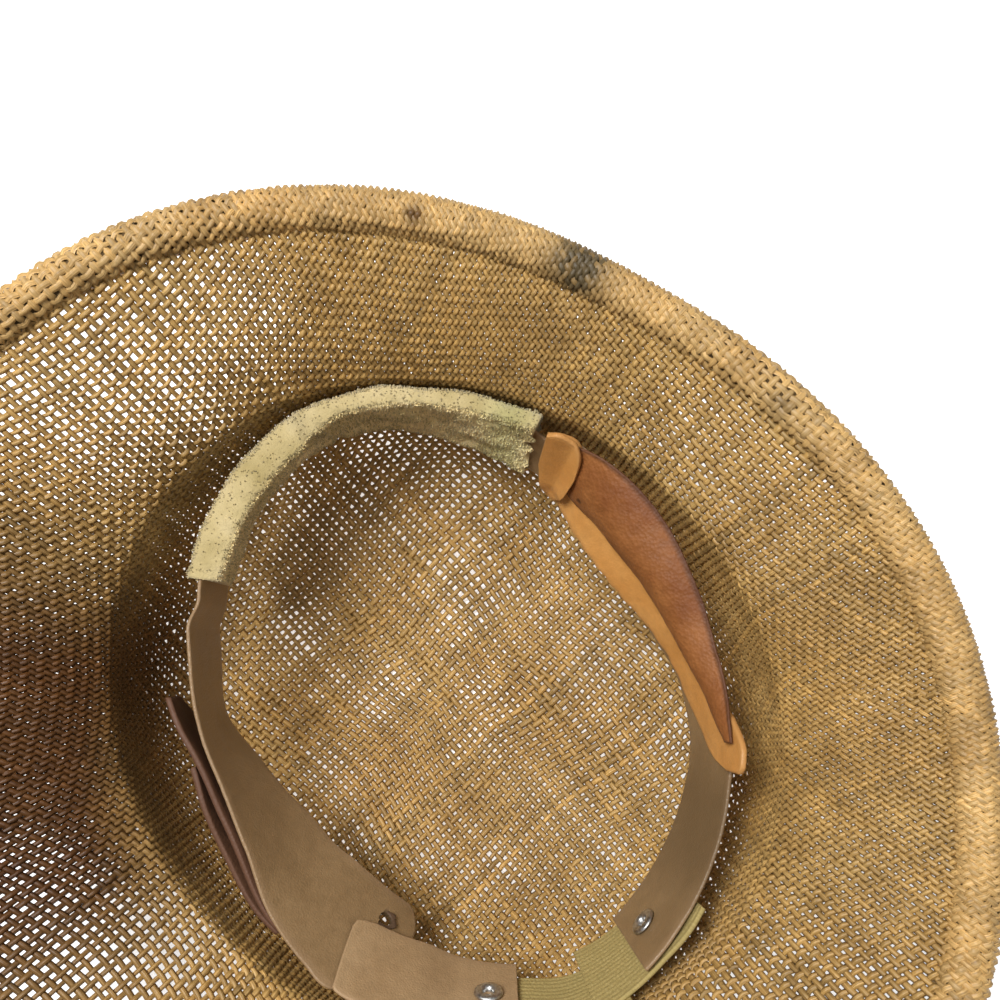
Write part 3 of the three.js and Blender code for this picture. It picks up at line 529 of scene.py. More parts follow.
def shell_width(points, family):
    """Width of a strand in mm: packed round the crown's throat, drawn apart in soft patches."""
    flat = points.reshape(-1, 3)
    height = flat[:, 2]
    brim = smoothstep(height, 92, 104)
    wide = SHELL_STRAND - BRIM_STRAND_LESS * brim + 0.1 * slack(flat[:, 0], flat[:, 1], flat[:, 2])
    wide = wide + 0.1 * (1 - brim) * crown_bands(flat[:, 0], flat[:, 1])
    wide = wide + 0.25 * smoothstep(height, 70, 92) * (1 - smoothstep(height, 100, 114))
    for x, y, z, spread, change in SLACK_PATCHES:
        off = ((flat - (x, y, z)) ** 2).sum(1)
        if change < 0:
            change *= 0.5 if z > 90 else 0.85
        wide = wide + change * np.exp(-off / (2 * spread ** 2))
    wide = wide + (0.08 if family == 0 else -0.08)
    return np.clip(wide, *STRAND_LIMITS).reshape(points.shape[:-1])


def straw_tint(points, tone, roll=False):
    """Multiplier on the straw's colour: strand to strand, in soft patches, painted shade on the lower-left
    brim and a tenth over the whole brim, and the stains on the roll.
    """
    tint = np.ones((len(points), 3))
    tint *= (1 + 0.085 * tone)[:, None]
    tint *= 1 + np.outer(np.clip(0.5 * tone, -1, 1), (0.02, 0.0, -0.05))
    patch = slack(points[:, 0] * 1.3 + 40, points[:, 1] * 1.3, points[:, 2])
    tint *= 1 + np.outer(patch, (0.03, 0.045, 0.07))
    angle = image_angle(points)
    radius = np.hypot(points[:, 0], points[:, 1])
    # painted shade: a dark reddish patch on the lower-left brim stands in for the shade that falls there
    lower_left_painted_shade = angular(angle, 316, 15, 48) * smoothstep(radius, 72, 100) * (1 - 0.6 * smoothstep(radius, 132, 142))
    tint *= 1 - np.outer(lower_left_painted_shade, (0.78, 0.86, 0.91))
    if not roll:
        # painted shade: the brim is painted a tenth darker than the crown
        tint *= 1 - 0.1 * smoothstep(points[:, 2], 92, 110)[:, None]
    else:
        for x, y, spread, colour in ROLL_STAINS:
            near = np.exp(-((points[:, 0] - x) ** 2 + (points[:, 1] - y) ** 2) / (2 * spread ** 2))
            near = np.clip(near * (1.1 + 0.5 * tone), 0, 1)
            tint *= 1 - near[:, None] * (1 - np.array(colour))
    return np.clip(tint, 0.02, 1.6)


# x, y and spread in mm, and the multiplier at the middle
ROLL_STAINS = (
    (-135.5, -47.5, 6.5, (0.2, 0.23, 0.28)),
    (-115.5, -92.5, 1.8, (0.25, 0.2, 0.15)),
    (-141.0, 22.5, 2.6, (0.55, 0.57, 0.62)),
)


# Node materials
class Nodes:
    """A material's node tree with short calls to add and join nodes."""

    def __init__(self, name, roughness, specular=0.5):
        self.material = bpy.data.materials.new(name)
        self.material.use_nodes = True
        self.tree = self.material.node_tree
        self.shader = self.tree.nodes["Principled BSDF"]
        self.shader.inputs["Roughness"].default_value = roughness
        self.shader.inputs["Specular IOR Level"].default_value = specular

    def add(self, kind, values=(), links=(), **settings):
        node = self.tree.nodes.new(kind)
        for key, value in settings.items():
            setattr(node, key, value)
        for key, value in dict(values).items():
            node.inputs[key].default_value = value
        for key, source in dict(links).items():
            self.tree.links.new(source, node.inputs[key])
        return node

    def link(self, socket, name):
        self.tree.links.new(socket, self.shader.inputs[name])

    def objects(self, scale=(1, 1, 1)):
        coords = self.add("ShaderNodeTexCoord")
        links = {"Vector": coords.outputs["Object"]}
        return self.add("ShaderNodeMapping", {"Scale": scale}, links).outputs[0]

    def noise(self, vector, scale, detail=3.0, roughness=0.55):
        return self.add("ShaderNodeTexNoise", {"Scale": scale, "Detail": detail, "Roughness": roughness},
                        {"Vector": vector}).outputs["Fac"]

    def ramp(self, factor, *stops):
        node = self.add("ShaderNodeValToRGB", links={"Fac": factor})
        elements = node.color_ramp.elements
        while len(elements) < len(stops):
            elements.new(0.5)
        for element, (place, colour) in zip(elements, stops):
            element.position = place
            element.color = (*colour, 1)
        return node.outputs["Color"]

    def mix(self, factor, a, b, blend="MIX"):
        node = self.add("ShaderNodeMix", data_type="RGBA", blend_type=blend)
        for index, value in ((0, factor), (6, a), (7, b)):
            if hasattr(value, "links"):
                self.tree.links.new(value, node.inputs[index])
            elif index == 0:
                node.inputs[0].default_value = value
            else:
                node.inputs[index].default_value = (*value, 1)
        return node.outputs[2]

    def math(self, operation, a, b=0.0):
        node = self.add("ShaderNodeMath", operation=operation)
        for index, value in enumerate((a, b)):
            if hasattr(value, "links"):
                self.tree.links.new(value, node.inputs[index])
            else:
                node.inputs[index].default_value = value
        return node.outputs[0]

    def span(self, factor, low, high):
        node = self.add("ShaderNodeMapRange", {"To Min": low, "To Max": high}, {"Value": factor})
        return node.outputs[0]

    def bump(self, height, strength, distance, normal=None):
        links = {"Height": height}
        if normal is not None:
            links["Normal"] = normal
        return self.add("ShaderNodeBump", {"Strength": strength, "Distance": distance}, links).outputs[0]


def straw_material(name, light, mid, dark):
    """Flat split straw: fibre streaks along each strand, soft blotches and flecks, tinted by the tint
    colours.
    """
    n = Nodes(name, 0.5, 0.45)
    uv = n.add("ShaderNodeUVMap", uv_map="weave").outputs[0]
    fibres = n.add("ShaderNodeMapping", {"Scale": (9.0, 1.1, 1.0)}, {"Vector": uv}).outputs[0]
    streak = n.noise(fibres, 1.0, 3.0, 0.6)
    blotch = n.noise(n.objects(), 90.0, 3.0, 0.6)
    fleck = n.noise(n.objects(), 420.0, 2.0, 0.5)
    base = n.ramp(streak, (0.28, dark), (0.5, mid), (0.72, light))
    base = n.mix(n.ramp(blotch, (0.35, (0, 0, 0)), (0.7, (0.5, 0.5, 0.5))), base, dark)
    base = n.mix(n.ramp(fleck, (0.66, (0, 0, 0)), (0.74, (0.45, 0.45, 0.45))), base,
                 tuple(0.45 * c for c in dark))
    tint = n.add("ShaderNodeVertexColor", layer_name="tint").outputs["Color"]
    n.link(n.mix(1.0, base, tint, "MULTIPLY"), "Base Color")
    n.link(n.span(streak, 0.36, 0.62), "Roughness")
    n.link(n.bump(streak, 0.5, 0.00018), "Normal")
    return n.material


def leather_material(name, face, worn, grain_scale, roughness, bump=0.35, edge=(0.62, 0.42, 0.30)):
    """Leather with pores, soft staining, rubbed patches, a cut-edge colour where the tint's red says so (near
    black on the right bolster, as painted shade), and darker leather where its green says so (painted shade
    on the headband's right length, dark spots on the bolster).
    """
    n = Nodes(name, roughness, 0.4)
    vector = n.objects()
    cloud = n.noise(vector, 38.0, 4.0, 0.6)
    fine = n.noise(vector, 260.0, 4.0, 0.65)
    pores = n.add("ShaderNodeTexVoronoi", {"Scale": grain_scale}, {"Vector": vector}, feature="F1").outputs[0]
    base = n.mix(n.ramp(cloud, (0.35, (0, 0, 0)), (0.7, (1, 1, 1))), face, worn)
    base = n.mix(n.ramp(fine, (0.3, (0.28, 0.28, 0.28)), (0.62, (0, 0, 0))), base,
                 tuple(0.55 * c for c in face))
    tint = n.add("ShaderNodeVertexColor", layer_name="tint").outputs["Color"]
    split = n.add("ShaderNodeSeparateColor", links={"Color": tint})
    base = n.mix(split.outputs[0], base, edge)
    base = n.mix(split.outputs[1], base, tuple(0.3 * c for c in face))
    n.link(base, "Base Color")
    n.link(n.span(fine, roughness - 0.1, roughness + 0.14), "Roughness")
    rough = n.bump(fine, bump, 0.0004)
    n.link(n.bump(pores, bump, 0.0003, rough), "Normal")
    return n.material


def towelling_material():
    n = Nodes("towelling", 0.95, 0.15)
    vector = n.objects()
    cloud = n.noise(vector, 55.0, 3.0, 0.6)
    fine = n.noise(vector, 900.0, 3.0, 0.7)
    base = n.ramp(cloud, (0.3, (0.38, 0.295, 0.125)), (0.55, (0.52, 0.415, 0.205)),
                  (0.75, (0.63, 0.515, 0.29)))
    tint = n.add("ShaderNodeVertexColor", layer_name="tint").outputs["Color"]
    n.link(n.mix(1.0, base, tint, "MULTIPLY"), "Base Color")
    n.link(n.bump(fine, 0.8, 0.0008), "Normal")
    n.shader.inputs["Sheen Weight"].default_value = 0.3
    return n.material


def webbing_material():
    n = Nodes("elastic_webbing", 0.85, 0.25)
    uv = n.add("ShaderNodeUVMap", uv_map="weave").outputs[0]
    cross = n.add("ShaderNodeMapping", {"Scale": (34.0, 60.0, 1.0)}, {"Vector": uv}).outputs[0]
    knit = n.noise(cross, 1.0, 2.0, 0.5)
    cloud = n.noise(n.objects(), 60.0, 3.0, 0.6)
    base = n.ramp(knit, (0.3, (0.33, 0.25, 0.085)), (0.6, (0.42, 0.325, 0.125)), (0.8, (0.50, 0.40, 0.18)))
    base = n.mix(n.ramp(cloud, (0.4, (0, 0, 0)), (0.75, (0.35, 0.35, 0.35))), base, (0.28, 0.22, 0.08))
    n.link(base, "Base Color")
    n.link(n.bump(knit, 0.6, 0.0004), "Normal")
    return n.material


def metal_material():
    n = Nodes("plated_rivet", 0.3)
    n.shader.inputs["Metallic"].default_value = 1.0
    wear = n.noise(n.objects(), 700.0, 4.0, 0.7)
    n.link(n.ramp(wear, (0.35, (0.34, 0.33, 0.31)), (0.6, (0.66, 0.66, 0.65))), "Base Color")
    n.link(n.span(wear, 0.22, 0.5), "Roughness")
    n.link(n.bump(wear, 0.25, 0.0002), "Normal")
    return n.material


def core_material():
    """The padding inside the roll, seen only in the gaps of its cover, coloured near black as painted shade
    in those gaps.
    """
    n = Nodes("roll_core", 0.9, 0.2)
    blotch = n.noise(n.objects(), 300.0, 3.0, 0.6)
    n.link(n.ramp(blotch, (0.3, (0.05, 0.03, 0.012)), (0.7, (0.13, 0.08, 0.035))), "Base Color")
    return n.material


STRAW = straw_material("woven_straw", (0.82, 0.54, 0.21), (0.50, 0.305, 0.095), (0.20, 0.105, 0.028))
STRAW_ROLL = straw_material("roll_straw", (0.86, 0.57, 0.24), (0.54, 0.335, 0.12), (0.21, 0.115, 0.033))
CORE = core_material()
TAN = leather_material("tan_leather", (0.25, 0.155, 0.07), (0.32, 0.205, 0.098), 1500, 0.42,
                       edge=(0.30, 0.19, 0.10))
TAN_LIGHT = leather_material("strap_leather", (0.37, 0.235, 0.115), (0.43, 0.285, 0.15), 1500, 0.5,
                             edge=(0.40, 0.26, 0.14))
ORANGE = leather_material("orange_leather", (0.60, 0.265, 0.062), (0.68, 0.34, 0.10), 1300, 0.45,
                          edge=(0.5, 0.25, 0.08))
# the right bolster's cut edges are coloured near black: painted shade along the gap and slit beside them
ROUGH = leather_material("rubbed_leather", (0.20, 0.062, 0.013), (0.36, 0.14, 0.037), 900, 0.6, 0.7,
                         edge=(0.06, 0.022, 0.01))
# painted shade: the left leaf and bolster are coloured as dark as they look in shade
SHADED_LEATHER = leather_material("painted_shade_leather", (0.10, 0.045, 0.022), (0.15, 0.068, 0.034), 1100, 0.6,
                        edge=(0.12, 0.055, 0.03))
PRESSED = leather_material("pressed_leather", (0.075, 0.042, 0.022), (0.12, 0.07, 0.038), 1500, 0.6,
                           edge=(0.06, 0.035, 0.02))
TOWEL = towelling_material()
WEBBING = webbing_material()
METAL = metal_material()


# Shell and roll
CROWN_PIECE_HEIGHT = 60     # the crown's piece ends here, and the brim's four pieces go on
ROLL_START, ROLL_SWEEP = -38, 372       # degrees round the roll where its cover starts, and how far it goes
COVER_RADIUS, CORE_RADIUS = ROLL_RADIUS - 0.75, ROLL_RADIUS - 1.5
CORE_SIDES, CORE_STEP = 20, 1.5


def weave_shell(sheet):
    points, faces, uv, tone, centre = strands(sheet, PITCH, shell_width, LENS, 11, margin=0.012)
    tint = straw_tint(centre, tone)
    first = points[faces[:, 0]]
    angle = np.mod(np.degrees(np.arctan2(first[:, 1], first[:, 0])) - 45, 360)
    low = first[:, 2] < CROWN_PIECE_HEIGHT
    parts = {"straw_crown": low}
    for number in range(4):
        quarter = (angle >= 90 * number) & (angle < 90 * number + 90)
        parts["straw_brim_%d" % (number + 1)] = quarter & ~low
    for name, chosen in parts.items():
        own = faces[chosen]
        used, renumbered = np.unique(own, return_inverse=True)
        make_piece(name, points[used], renumbered.reshape(own.shape), STRAW, uv[used],
                   tint[used], replaces=("woven_shell",))


def roll_width(points, _):
    flat = points.reshape(-1, 3)
    return (1.95 + 0.15 * slack(flat[:, 0], flat[:, 1], flat[:, 2])).reshape(points.shape[:-1])


def weave_roll(shell):
    sheet = roll_sheet(shell, COVER_RADIUS, ROLL_START, ROLL_SWEEP)
    points, faces, uv, tone, centre = strands(sheet, PITCH, roll_width, RIBBON, 23, crimp=(0.42, 0.68))
    tint = straw_tint(centre, tone, roll=True)
    make_piece("roll_cover", points, faces, STRAW_ROLL, uv, tint, replaces=("rolled_rim",))
    angles = np.radians(np.arange(0, 360, CORE_STEP))
    _, out, lift = rim_frame(angles)
    turns = np.radians(np.arange(0, 360, 360 / CORE_SIDES))
    ring = (np.cos(turns)[None, :, None] * out[:, None] + np.sin(turns)[None, :, None] * lift[:, None])
    core = rim_point(angles)[:, None] + CORE_RADIUS * ring
    make_piece("roll_core", core, grid_faces(len(angles), CORE_SIDES, True, True), CORE)


shell = shell_sheet()
weave_shell(shell)
weave_roll(shell)


# Leather and cloth on the headband
LEATHER_ARC = BAND_RADIUS * math.pi / 180       # mm of leather to a degree of turn
EDGE_EASING = (15, 45, 75)                      # degrees round half of a rounded cut edge


def lying(name, outline, back, face, material, node, rows=16, step=0.5, edge_radius=0.5, relief=0.0,
          seed=1, ragged=0.0, marks=None):
    """A strip on the headband from depth back(turn, across) to face(turn, across), with rounded cut edges."""
    first, last = outline["turn"][[0, -1]]
    turns = np.append(np.arange(first, last - step / 4, step), last)
    upper, lower = row_value(outline, "upper", turns), row_value(outline, "lower", turns)
    broad, fine, nick = Waves(seed, 2, 26, 7), Waves(seed + 50, 2, 6, 7), Waves(seed + 90, 1, 9, 5)
    upper = upper + ragged * nick(turns) / BAND_WIDTH
    lower = lower + ragged * nick(turns + 500) / BAND_WIDTH
    share = np.linspace(0, 1, rows + 1)
    easing = 2 * np.radians(EDGE_EASING)
    # share across, level from back to face, bulge past the edge and mark of the cut edge
    section = [(x, 1.0, 0.0, x in (0, 1)) for x in share]
    section += [(1.0, 0.5 + 0.5 * math.cos(a), math.sin(a), True) for a in easing]
    section += [(x, 0.0, 0.0, x in (0, 1)) for x in share[::-1][::2]]
    section += [(0.0, 0.5 - 0.5 * math.cos(a), -math.sin(a), True) for a in easing]
    s, level, bulge, edge_mark = np.array(section, float).T[:, None, :]
    t = turns[:, None]
    drop = upper[:, None] + (lower - upper)[:, None] * s + bulge * edge_radius / BAND_WIDTH
    low, high = back(t, s), face(t, s)
    arc = t * LEATHER_ARC
    cast = relief * broad(arc, drop * BAND_WIDTH) + 0.25 * relief * fine(arc, drop * BAND_WIDTH)
    depth = low + (high - low) * level + cast + band_shift(t)
    verts, triangles = closed_strip(band_point(np.broadcast_to(t, depth.shape), drop, depth))
    mark = np.broadcast_to(edge_mark, depth.shape).copy()
    mark[0], mark[-1] = 1.0, 1.0
    tint = np.zeros((depth.size, 3))
    tint[:, 0] = mark.ravel() * 0.75
    if marks is not None:
        tint[:, 1] = marks(np.broadcast_to(t, depth.shape), drop).ravel()
    across, along = np.broadcast_to(s, depth.shape), np.broadcast_to(arc, depth.shape) / 40
    uv = np.stack([across.ravel(), along.ravel()], -1)
    ends = [0, depth.size - depth.shape[1]]
    return make_piece(name, verts, triangles, material, np.concatenate([uv, uv[ends]]),
                      np.concatenate([tint, tint[ends]]), replaces=(node,))


def level_at(value):
    return lambda t, s: value + 0 * t + 0 * s


def spots(*places):
    """Dark marks at (turn, drop, size in mm)."""
    def marks(t, drop):
        total = np.zeros(t.shape)
        for turn, at, size in places:
            x = (t - turn) * LEATHER_ARC
            y = (drop - at) * BAND_WIDTH
            total = np.maximum(total, 1 - smoothstep(np.hypot(x, y), size * 0.5, size))
        return total
    return marks


SEEN_BACK = 1.0         # depth where the shown leather of headband and strap begins
DARK_TURN = 103         # the middle of the headband's right length that is darkened as painted shade


def band_painted_shade(t, _):
    """Painted shade: darker leather along the right length of the headband, standing in for the shade on it.
    """
    return 0.5 * (1 - smoothstep(np.abs(t - DARK_TURN), 4, 24))


def headband():
    turns = np.append(np.arange(76, 387.4, 0.4), 387.6)
    shift = band_shift(turns)
    rows = {"turn": turns,
            "upper": row_value(BAND_OUTLINE, "upper", turns) + shift / BAND_WIDTH,
            "lower": row_value(BAND_OUTLINE, "lower", turns) - shift / BAND_WIDTH}
    return lying("headband_leather", rows, level_at(SEEN_BACK), level_at(BAND_THICKNESS), TAN,
                 "headband", rows=14, relief=0.12, seed=31, marks=band_painted_shade)


HOLE_SIDES = 48
BIT_START, BIT_END = -5.0, 8.0          # depths between which the hole is cut
PRESS_RADIUS, SCALLOP = 3.9, 0.35       # mean radius of the pressed ring, and how far its six lobes stand out


def punched(piece, place, diameter):
    """Cuts a round hole through a piece on the headband and presses a thin scalloped ring around it."""
    turn = np.array(float(place[0]))
    along, down, _ = band_frame(turn)
    angles = np.arange(HOLE_SIDES) * 2 * math.pi / HOLE_SIDES
    ring = np.cos(angles)[:, None] * along + np.sin(angles)[:, None] * down

    def circle(radius, depth):
        return band_point(turn, place[1], depth) + np.reshape(radius, (-1, 1)) * ring

    bore = np.full(HOLE_SIDES, diameter / 2)
    ends = np.concatenate([circle(bore, BIT_START), circle(bore, BIT_END)]) * MM
    mesh = bpy.data.meshes.new("bit")
    sides = [(k, (k + 1) % HOLE_SIDES, HOLE_SIDES + (k + 1) % HOLE_SIDES, HOLE_SIDES + k)
             for k in range(HOLE_SIDES)]
    caps = [tuple(range(HOLE_SIDES - 1, -1, -1)), tuple(range(HOLE_SIDES, 2 * HOLE_SIDES))]
    mesh.from_pydata(ends.tolist(), [], sides + caps)
    bit = bpy.data.objects.new("bit", mesh)
    bpy.context.scene.collection.objects.link(bit)
    cut = piece.modifiers.new("hole", "BOOLEAN")
    cut.operation, cut.solver, cut.object = "DIFFERENCE", "EXACT", bit
    shape = bpy.data.meshes.new_from_object(piece.evaluated_get(bpy.context.evaluated_depsgraph_get()))
    piece.modifiers.clear()
    piece.data = shape
    bpy.data.objects.remove(bit)
    scallop = PRESS_RADIUS + SCALLOP * np.cos(6 * angles)
    seat, top = BAND_THICKNESS - 0.4, BAND_THICKNESS + 0.22
    rows = np.array([circle(bore + 0.05, seat), circle(bore + 0.05, top - 0.1), circle(bore + 0.3, top),
                     circle(scallop - 0.3, top), circle(scallop, top - 0.15), circle(scallop, seat)])
    make_piece("punched_hole_ring", rows, grid_faces(len(rows), HOLE_SIDES, True, True), PRESSED,
               tint=np.zeros((rows.size // 3, 3)), replaces=("headband",))


punched(headband(), HOLE_PLACE, PUNCHED_HOLE)
lying("back_strap_leather", BACK_STRAP,
      lambda t, s: STRAP_OVERLAP * row_value(BACK_STRAP, "over", t) + SEEN_BACK + 0 * s,
      lambda t, s: STRAP_OVERLAP * row_value(BACK_STRAP, "over", t) + BAND_THICKNESS + 0 * s,
      TAN_LIGHT, "back_strap", relief=0.08, seed=37)
lying("right_leaf_leather", LEAF_RIGHT, level_at(LEAF_BACK), level_at(LEAF_FACE), ORANGE,
      "side_leaf_right", relief=0.12, seed=41, ragged=0.25)


def bolster_face(t, s):
    swell = BOLSTER_SWELL * row_value(BOLSTER_RIGHT, "swell", t)
    return BOLSTER_BACK + BOLSTER_EDGE + swell * np.sin(math.pi * np.clip(s, 0, 1)) ** 0.8


bolster = lying("right_bolster_leather", BOLSTER_RIGHT, level_at(BOLSTER_BACK), bolster_face, ROUGH,
                "side_bolster_right", rows=24, relief=0.25, seed=43,
                marks=spots((191.5, 0.35, 1.2), (186.0, 0.62, 1.6)))


def lobe_back(t, s):
    swell = BOLSTER_SWELL * row_value(BOLSTER_RIGHT, "swell", t)
    past = smoothstep(t, 194, 194 + LOBE_RUN)
    upper, lower = row_value(LOBE_RIGHT, "upper", t), row_value(LOBE_RIGHT, "lower", t)
    settled = smoothstep(upper + (lower - upper) * np.clip(s, 0, 1), *LOBE_SETTLE)
    return BOLSTER_BACK + (1 - past) * (1 - settled) * (BOLSTER_EDGE + CLEARANCE + swell)


lying("right_lobe_leather", LOBE_RIGHT, lobe_back, lambda t, s: lobe_back(t, s) + LEAF_THICKNESS, ORANGE,
      "side_lobe_right", relief=0.06, seed=47, step=0.25)


def left_flare(t):
    return LEAF_FLARE * row_value(LEAF_LEFT, "flare", t)


lying("left_leaf_leather", LEAF_LEFT,
      lambda t, s: LEFT_LEAF_BACK - left_flare(t) + 0 * s,
      lambda t, s: LEFT_LEAF_FACE - left_flare(t) + 0 * s,
      SHADED_LEATHER, "side_leaf_left", relief=0.05, seed=53)


def left_bow(t):
    return left_flare(t) + BOLSTER_BOW * row_value(BOLSTER_LEFT, "bow", t)


lying("left_bolster_leather", BOLSTER_LEFT,
      lambda t, s: LEFT_BOLSTER_FACE - left_bow(t) - LEAF_THICKNESS + 0 * s,
      lambda t, s: LEFT_BOLSTER_FACE - left_bow(t) + 0 * s,
      SHADED_LEATHER, "side_bolster_left", relief=0.04, seed=59)


# Elastic
def elastic(name, outline, back, face, node, seed):
    ribs = 17

    def ribbed(t, s):
        return face(t, s) + 0.11 * np.cos(2 * math.pi * ribs * s) + 0 * t
    return lying(name, outline, back, ribbed, WEBBING, node, rows=ribs * 4, relief=0.1, seed=seed)


def elastic_left_face(t, s):
    sunk = smoothstep(t, *ELASTIC_SINK)
    return ELASTIC_RIGHT_FACE + (ELASTIC_LEFT_FACE - ELASTIC_RIGHT_FACE) * sunk + 0 * s


elastic("elastic_left_web", ELASTIC_LEFT, lambda t, s: elastic_left_face(t, s) - ELASTIC_THICKNESS,
        elastic_left_face, "elastic_left", 61)
elastic("elastic_right_web", ELASTIC_RIGHT, level_at(ELASTIC_RIGHT_BACK), level_at(ELASTIC_RIGHT_FACE),
        "elastic_right", 67)


# Rivets
def rivet(node, place):
    """A hollow rivet with a rolled flange on each side, its bore open."""
    low, high = ELASTIC_RIGHT_BACK - CLEARANCE, BAND_THICKNESS + 2 * CLEARANCE
    profile = [(1.3, low - 0.7), (1.9, low - 1.05), (3.2, low - 1.0), (4.3, low - 0.6), (4.6, low - 0.05),
               (2.3, low), (2.3, high), (4.6, high + 0.05), (4.45, high + 0.55), (3.7, high + 1.0),
               (2.9, high + 1.1), (2.2, high + 0.95), (1.7, high + 0.4), (1.35, high - 0.6)]
    along, down, inward = (np.array(v) for v in band_frame(np.array(float(place[0]))))
    centre = band_point(np.array(float(place[0])), place[1], 0.0)
    sides = 40
    turns = np.arange(sides) * 2 * math.pi / sides
    ring = np.cos(turns)[:, None] * along + np.sin(turns)[:, None] * down
    points = np.array([centre + r * ring + inward * y for r, y in profile])
    faces = grid_faces(len(profile), sides, True, True)
    return make_piece(node + "_metal", points, faces, METAL, replaces=(node,))


for node, place in RIVET_PLACES.items():
    rivet(node, place)


# Towelling pad
PAD_DEPTH = 2 * (PAD_THICKNESS + CLEARANCE) + BAND_THICKNESS
PAD_BACK, PAD_FRONT = 0.9, 6.9      # where the cloth under the pile begins and ends


PAD_FACE_COUNT, PAD_ROUND = 26, 1.9      # points across a face, and radius of the rounded edges
PAD_EASING = (20, 45, 70)                # degrees round half of a rounded edge


def pad_loop():
    """The pad's section round the band: share across, depth and direction away from the band."""
    inset = PAD_ROUND / BAND_WIDTH
    share = np.linspace(inset, 1 - inset, PAD_FACE_COUNT)
    bends = [(inset * math.sin(a), PAD_ROUND * (1 - math.cos(a)), math.sin(a), math.cos(a))
             for a in np.radians(PAD_EASING)]
    loop = [(s, 0.0, (0.0, -1.0)) for s in share]
    loop += [(1 - inset + over, round_off, (x, -y)) for over, round_off, x, y in bends]
    loop += [(1 - inset + over, PAD_DEPTH - round_off, (x, y)) for over, round_off, x, y in bends[::-1]]
    loop += [(s, PAD_DEPTH, (0.0, 1.0)) for s in share[::-1]]
    loop += [(inset - over, PAD_DEPTH - round_off, (-x, y)) for over, round_off, x, y in bends]
    loop += [(inset - over, round_off, (-x, -y)) for over, round_off, x, y in bends[::-1]]
    return loop


def pad():
    turns = np.arange(PAD_START, PAD_END + 0.1, 0.5)
    loop = pad_loop()
    s = np.array([row[0] for row in loop])[None, :]
    depth = np.array([row[1] for row in loop])[None, :]
    way = np.array([row[2] for row in loop])
    t = turns[:, None]
    lumps, small = Waves(71, 2, 20, 7), Waves(73, 2, 6, 9)
    arc = t * 100 * math.pi / 180
    lift = 0.45 * lumps(arc + depth * 3, s * BAND_WIDTH) + 0.2 * small(arc + depth * 5, s * BAND_WIDTH)
    crease = np.exp(-((t - 248 + 5 * (s - 0.4)) / 1.6) ** 2)
    lift = lift - 1.5 * crease * (depth > PAD_DEPTH / 2)
    hem = np.exp(-((s - 0.16) * BAND_WIDTH / 0.9) ** 2) * (depth > PAD_DEPTH / 2)
    lift = lift - 0.9 * hem
    start_ragged = 0.8 * Waves(79, 1, 7, 5)(s * BAND_WIDTH + depth * 3)
    turn_grid = t + start_ragged * (1 - smoothstep(t, PAD_START, PAD_START + 5)) + 0 * s
    shown = PAD_BACK + depth * (PAD_FRONT - PAD_BACK) / PAD_DEPTH
    shown = shown + smoothstep(t, 240, 256) * (5.5 - 6.7 * s) * depth / PAD_DEPTH
    base = band_point(turn_grid, s + lift * way[None, :, 0] / BAND_WIDTH, shown + lift * way[None, :, 1])
    count = len(loop)
    verts, triangles = closed_strip(base)
    green = np.exp(-((t - 209) / 5.0) ** 2) + 0 * s
    tint = np.ones((len(turns), count, 3))
    tint *= 1 - green[..., None] * np.array([0.13, 0.03, 0.1])
    # painted shade: the pad is darker in its fold crease and in the hem's groove
    tint *= (1 - 0.12 * hem - 0.2 * crease)[..., None]
    # painted light: the pad's inner face, which gets little light, is painted 1.65 times brighter
    tint *= (1.0 + 0.65 * (depth > PAD_DEPTH - 0.5))[..., None]
    tint = tint.reshape(-1, 3)
    body = make_piece("sweat_pad_cloth", verts, triangles, TOWEL,
                      tint=np.concatenate([tint, np.ones((2, 3)) * 0.9]), replaces=("sweat_pad",))
    tufts(base, tint.reshape(len(turns), count, 3))


TUFTS = 18500
TUFT_HEIGHT, TUFT_HALF_WIDTH = (0.5, 1.0), (0.14, 0.28)
TUFT_SHADE = (0.55, 1.3)
TUFT_FACES = np.array([[0, 1, 4], [0, 4, 3], [1, 2, 5], [1, 5, 4], [2, 0, 3], [2, 3, 5], [3, 4, 5]])


def tufts(base, tint):
    """Short curled loops of pile over the pad, as one mesh."""
    own = np.random.default_rng(83)
    rows, count = base.shape[:2]
    r = own.uniform(0, rows - 1.001, TUFTS)
    c = own.uniform(0, count, TUFTS)
    r0, c0 = r.astype(int), c.astype(int) % count
    c1 = (c0 + 1) % count
    fr, fc = (r - r0)[:, None], (c - c.astype(int))[:, None]
    place = (base[r0, c0] * (1 - fr) * (1 - fc) + base[r0 + 1, c0] * fr * (1 - fc)
             + base[r0, c1] * (1 - fr) * fc + base[r0 + 1, c1] * fr * fc)
    ways = base[r0 + 1, c0] - base[r0, c0]
    over = base[r0, c1] - base[r0, c0]
    normal = unit(np.cross(over, ways))
    middle = base.mean(1)[r0]
    normal *= np.sign((normal * (place - middle)).sum(-1, keepdims=True) + 1e-9)
    side = unit(np.cross(normal, own.normal(size=(TUFTS, 3))))
    lean = unit(np.cross(side, normal))
    height = own.uniform(*TUFT_HEIGHT, TUFTS)[:, None]
    wide = own.uniform(*TUFT_HALF_WIDTH, TUFTS)[:, None]
    foot = place - normal * 0.15
    points = np.stack([
        foot - side * wide, foot + side * wide, foot + lean * wide,
        foot + normal * height - side * wide * 0.9 + lean * 0.25,
        foot + normal * height + side * wide * 0.9 + lean * 0.25,
        foot + normal * height * 0.75 + lean * (wide + 0.35),
    ], 1).reshape(-1, 3)
    faces = (6 * np.arange(TUFTS)[:, None, None] + TUFT_FACES[None]).reshape(-1, 3)
    shade = tint[r0, c0] * own.uniform(*TUFT_SHADE, (TUFTS, 1))
    make_piece("sweat_pad_pile", points, faces, TOWEL, tint=np.repeat(shade, 6, axis=0),
               replaces=("sweat_pad",))


pad()


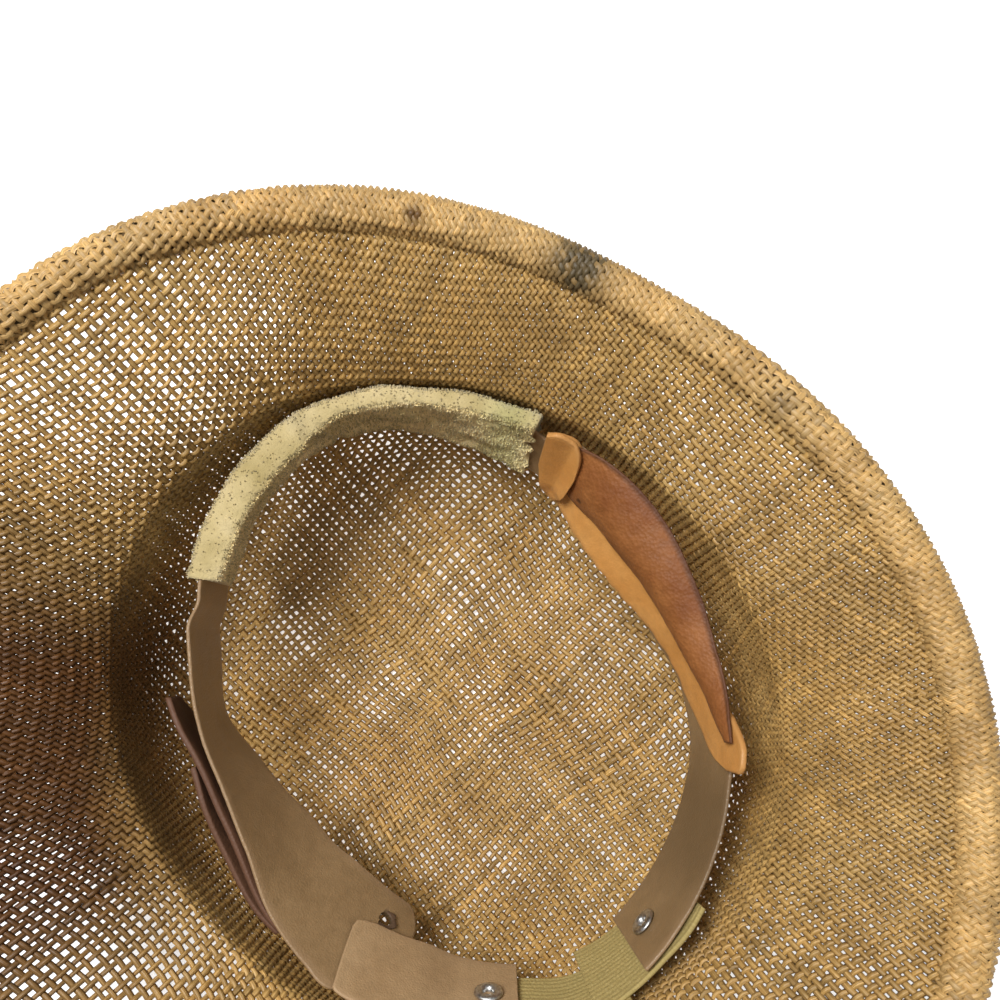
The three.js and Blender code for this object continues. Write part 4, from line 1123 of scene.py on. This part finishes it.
# Floor, light and camera
FLOOR_HALF_SIDE, FLOOR_GLOW = 3.0, 0.55     # the glow shows through the weave's pinholes
WORLD_LIGHT = 0.24
CAMERA_PLACE = (-35.5, 6.8, 448.0)          # mm
CAMERA_LOOK, CAMERA_UP = (-0.107, -0.089, -0.990), (-0.759, -0.637, 0.139)
CAMERA_LENS, CAMERA_SENSOR = 40.05, 36


def floor():
    mesh = bpy.data.meshes.new("floor")
    side = FLOOR_HALF_SIDE
    corners = [(-side, -side, 0), (side, -side, 0), (side, side, 0), (-side, side, 0)]
    mesh.from_pydata(corners, [], [(0, 1, 2, 3)])
    stage = bpy.data.objects.new("floor", mesh)
    bpy.context.scene.collection.objects.link(stage)
    n = Nodes("pale_floor", 0.9, 0.1)
    n.shader.inputs["Base Color"].default_value = (0.9, 0.9, 0.9, 1)
    n.shader.inputs["Emission Color"].default_value = (1, 1, 1, 1)
    n.shader.inputs["Emission Strength"].default_value = FLOOR_GLOW
    mesh.materials.append(n.material)


def area_light(name, place, target, size, power, colour=(1, 1, 1)):
    data = bpy.data.lights.new(name, "AREA")
    data.shape = "DISK"
    data.size = size
    data.energy = power
    data.color = colour
    light = bpy.data.objects.new(name, data)
    light.location = place
    light.rotation_euler = (Vector(target) - Vector(place)).to_track_quat("-Z", "Y").to_euler()
    bpy.context.scene.collection.objects.link(light)


floor()
area_light("key", (-0.02, -0.46, 1.2), (-0.02, 0.0, 0.05), 0.45, 17)
area_light("fill", (-0.4, 0.6, 1.5), (0, 0, 0.1), 1.6, 3)

world = bpy.data.worlds.new("studio")
bpy.context.scene.world = world
world.use_nodes = True
world.node_tree.nodes["Background"].inputs["Color"].default_value = (1, 1, 1, 1)
world.node_tree.nodes["Background"].inputs["Strength"].default_value = WORLD_LIGHT
bpy.context.scene.view_settings.view_transform = "Standard"

camera_data = bpy.data.cameras.new("camera")
camera_data.sensor_width = CAMERA_SENSOR
camera_data.lens = CAMERA_LENS
camera_data.clip_start = 0.01
camera = bpy.data.objects.new("camera", camera_data)
look, up = Vector(CAMERA_LOOK).normalized(), Vector(CAMERA_UP)
right = look.cross(up).normalized()
up = right.cross(look)
basis = Matrix((right, up, -look)).transposed().to_4x4()
basis.translation = Vector(CAMERA_PLACE) * MM
camera.matrix_world = basis
bpy.context.scene.collection.objects.link(camera)
bpy.context.scene.camera = camera
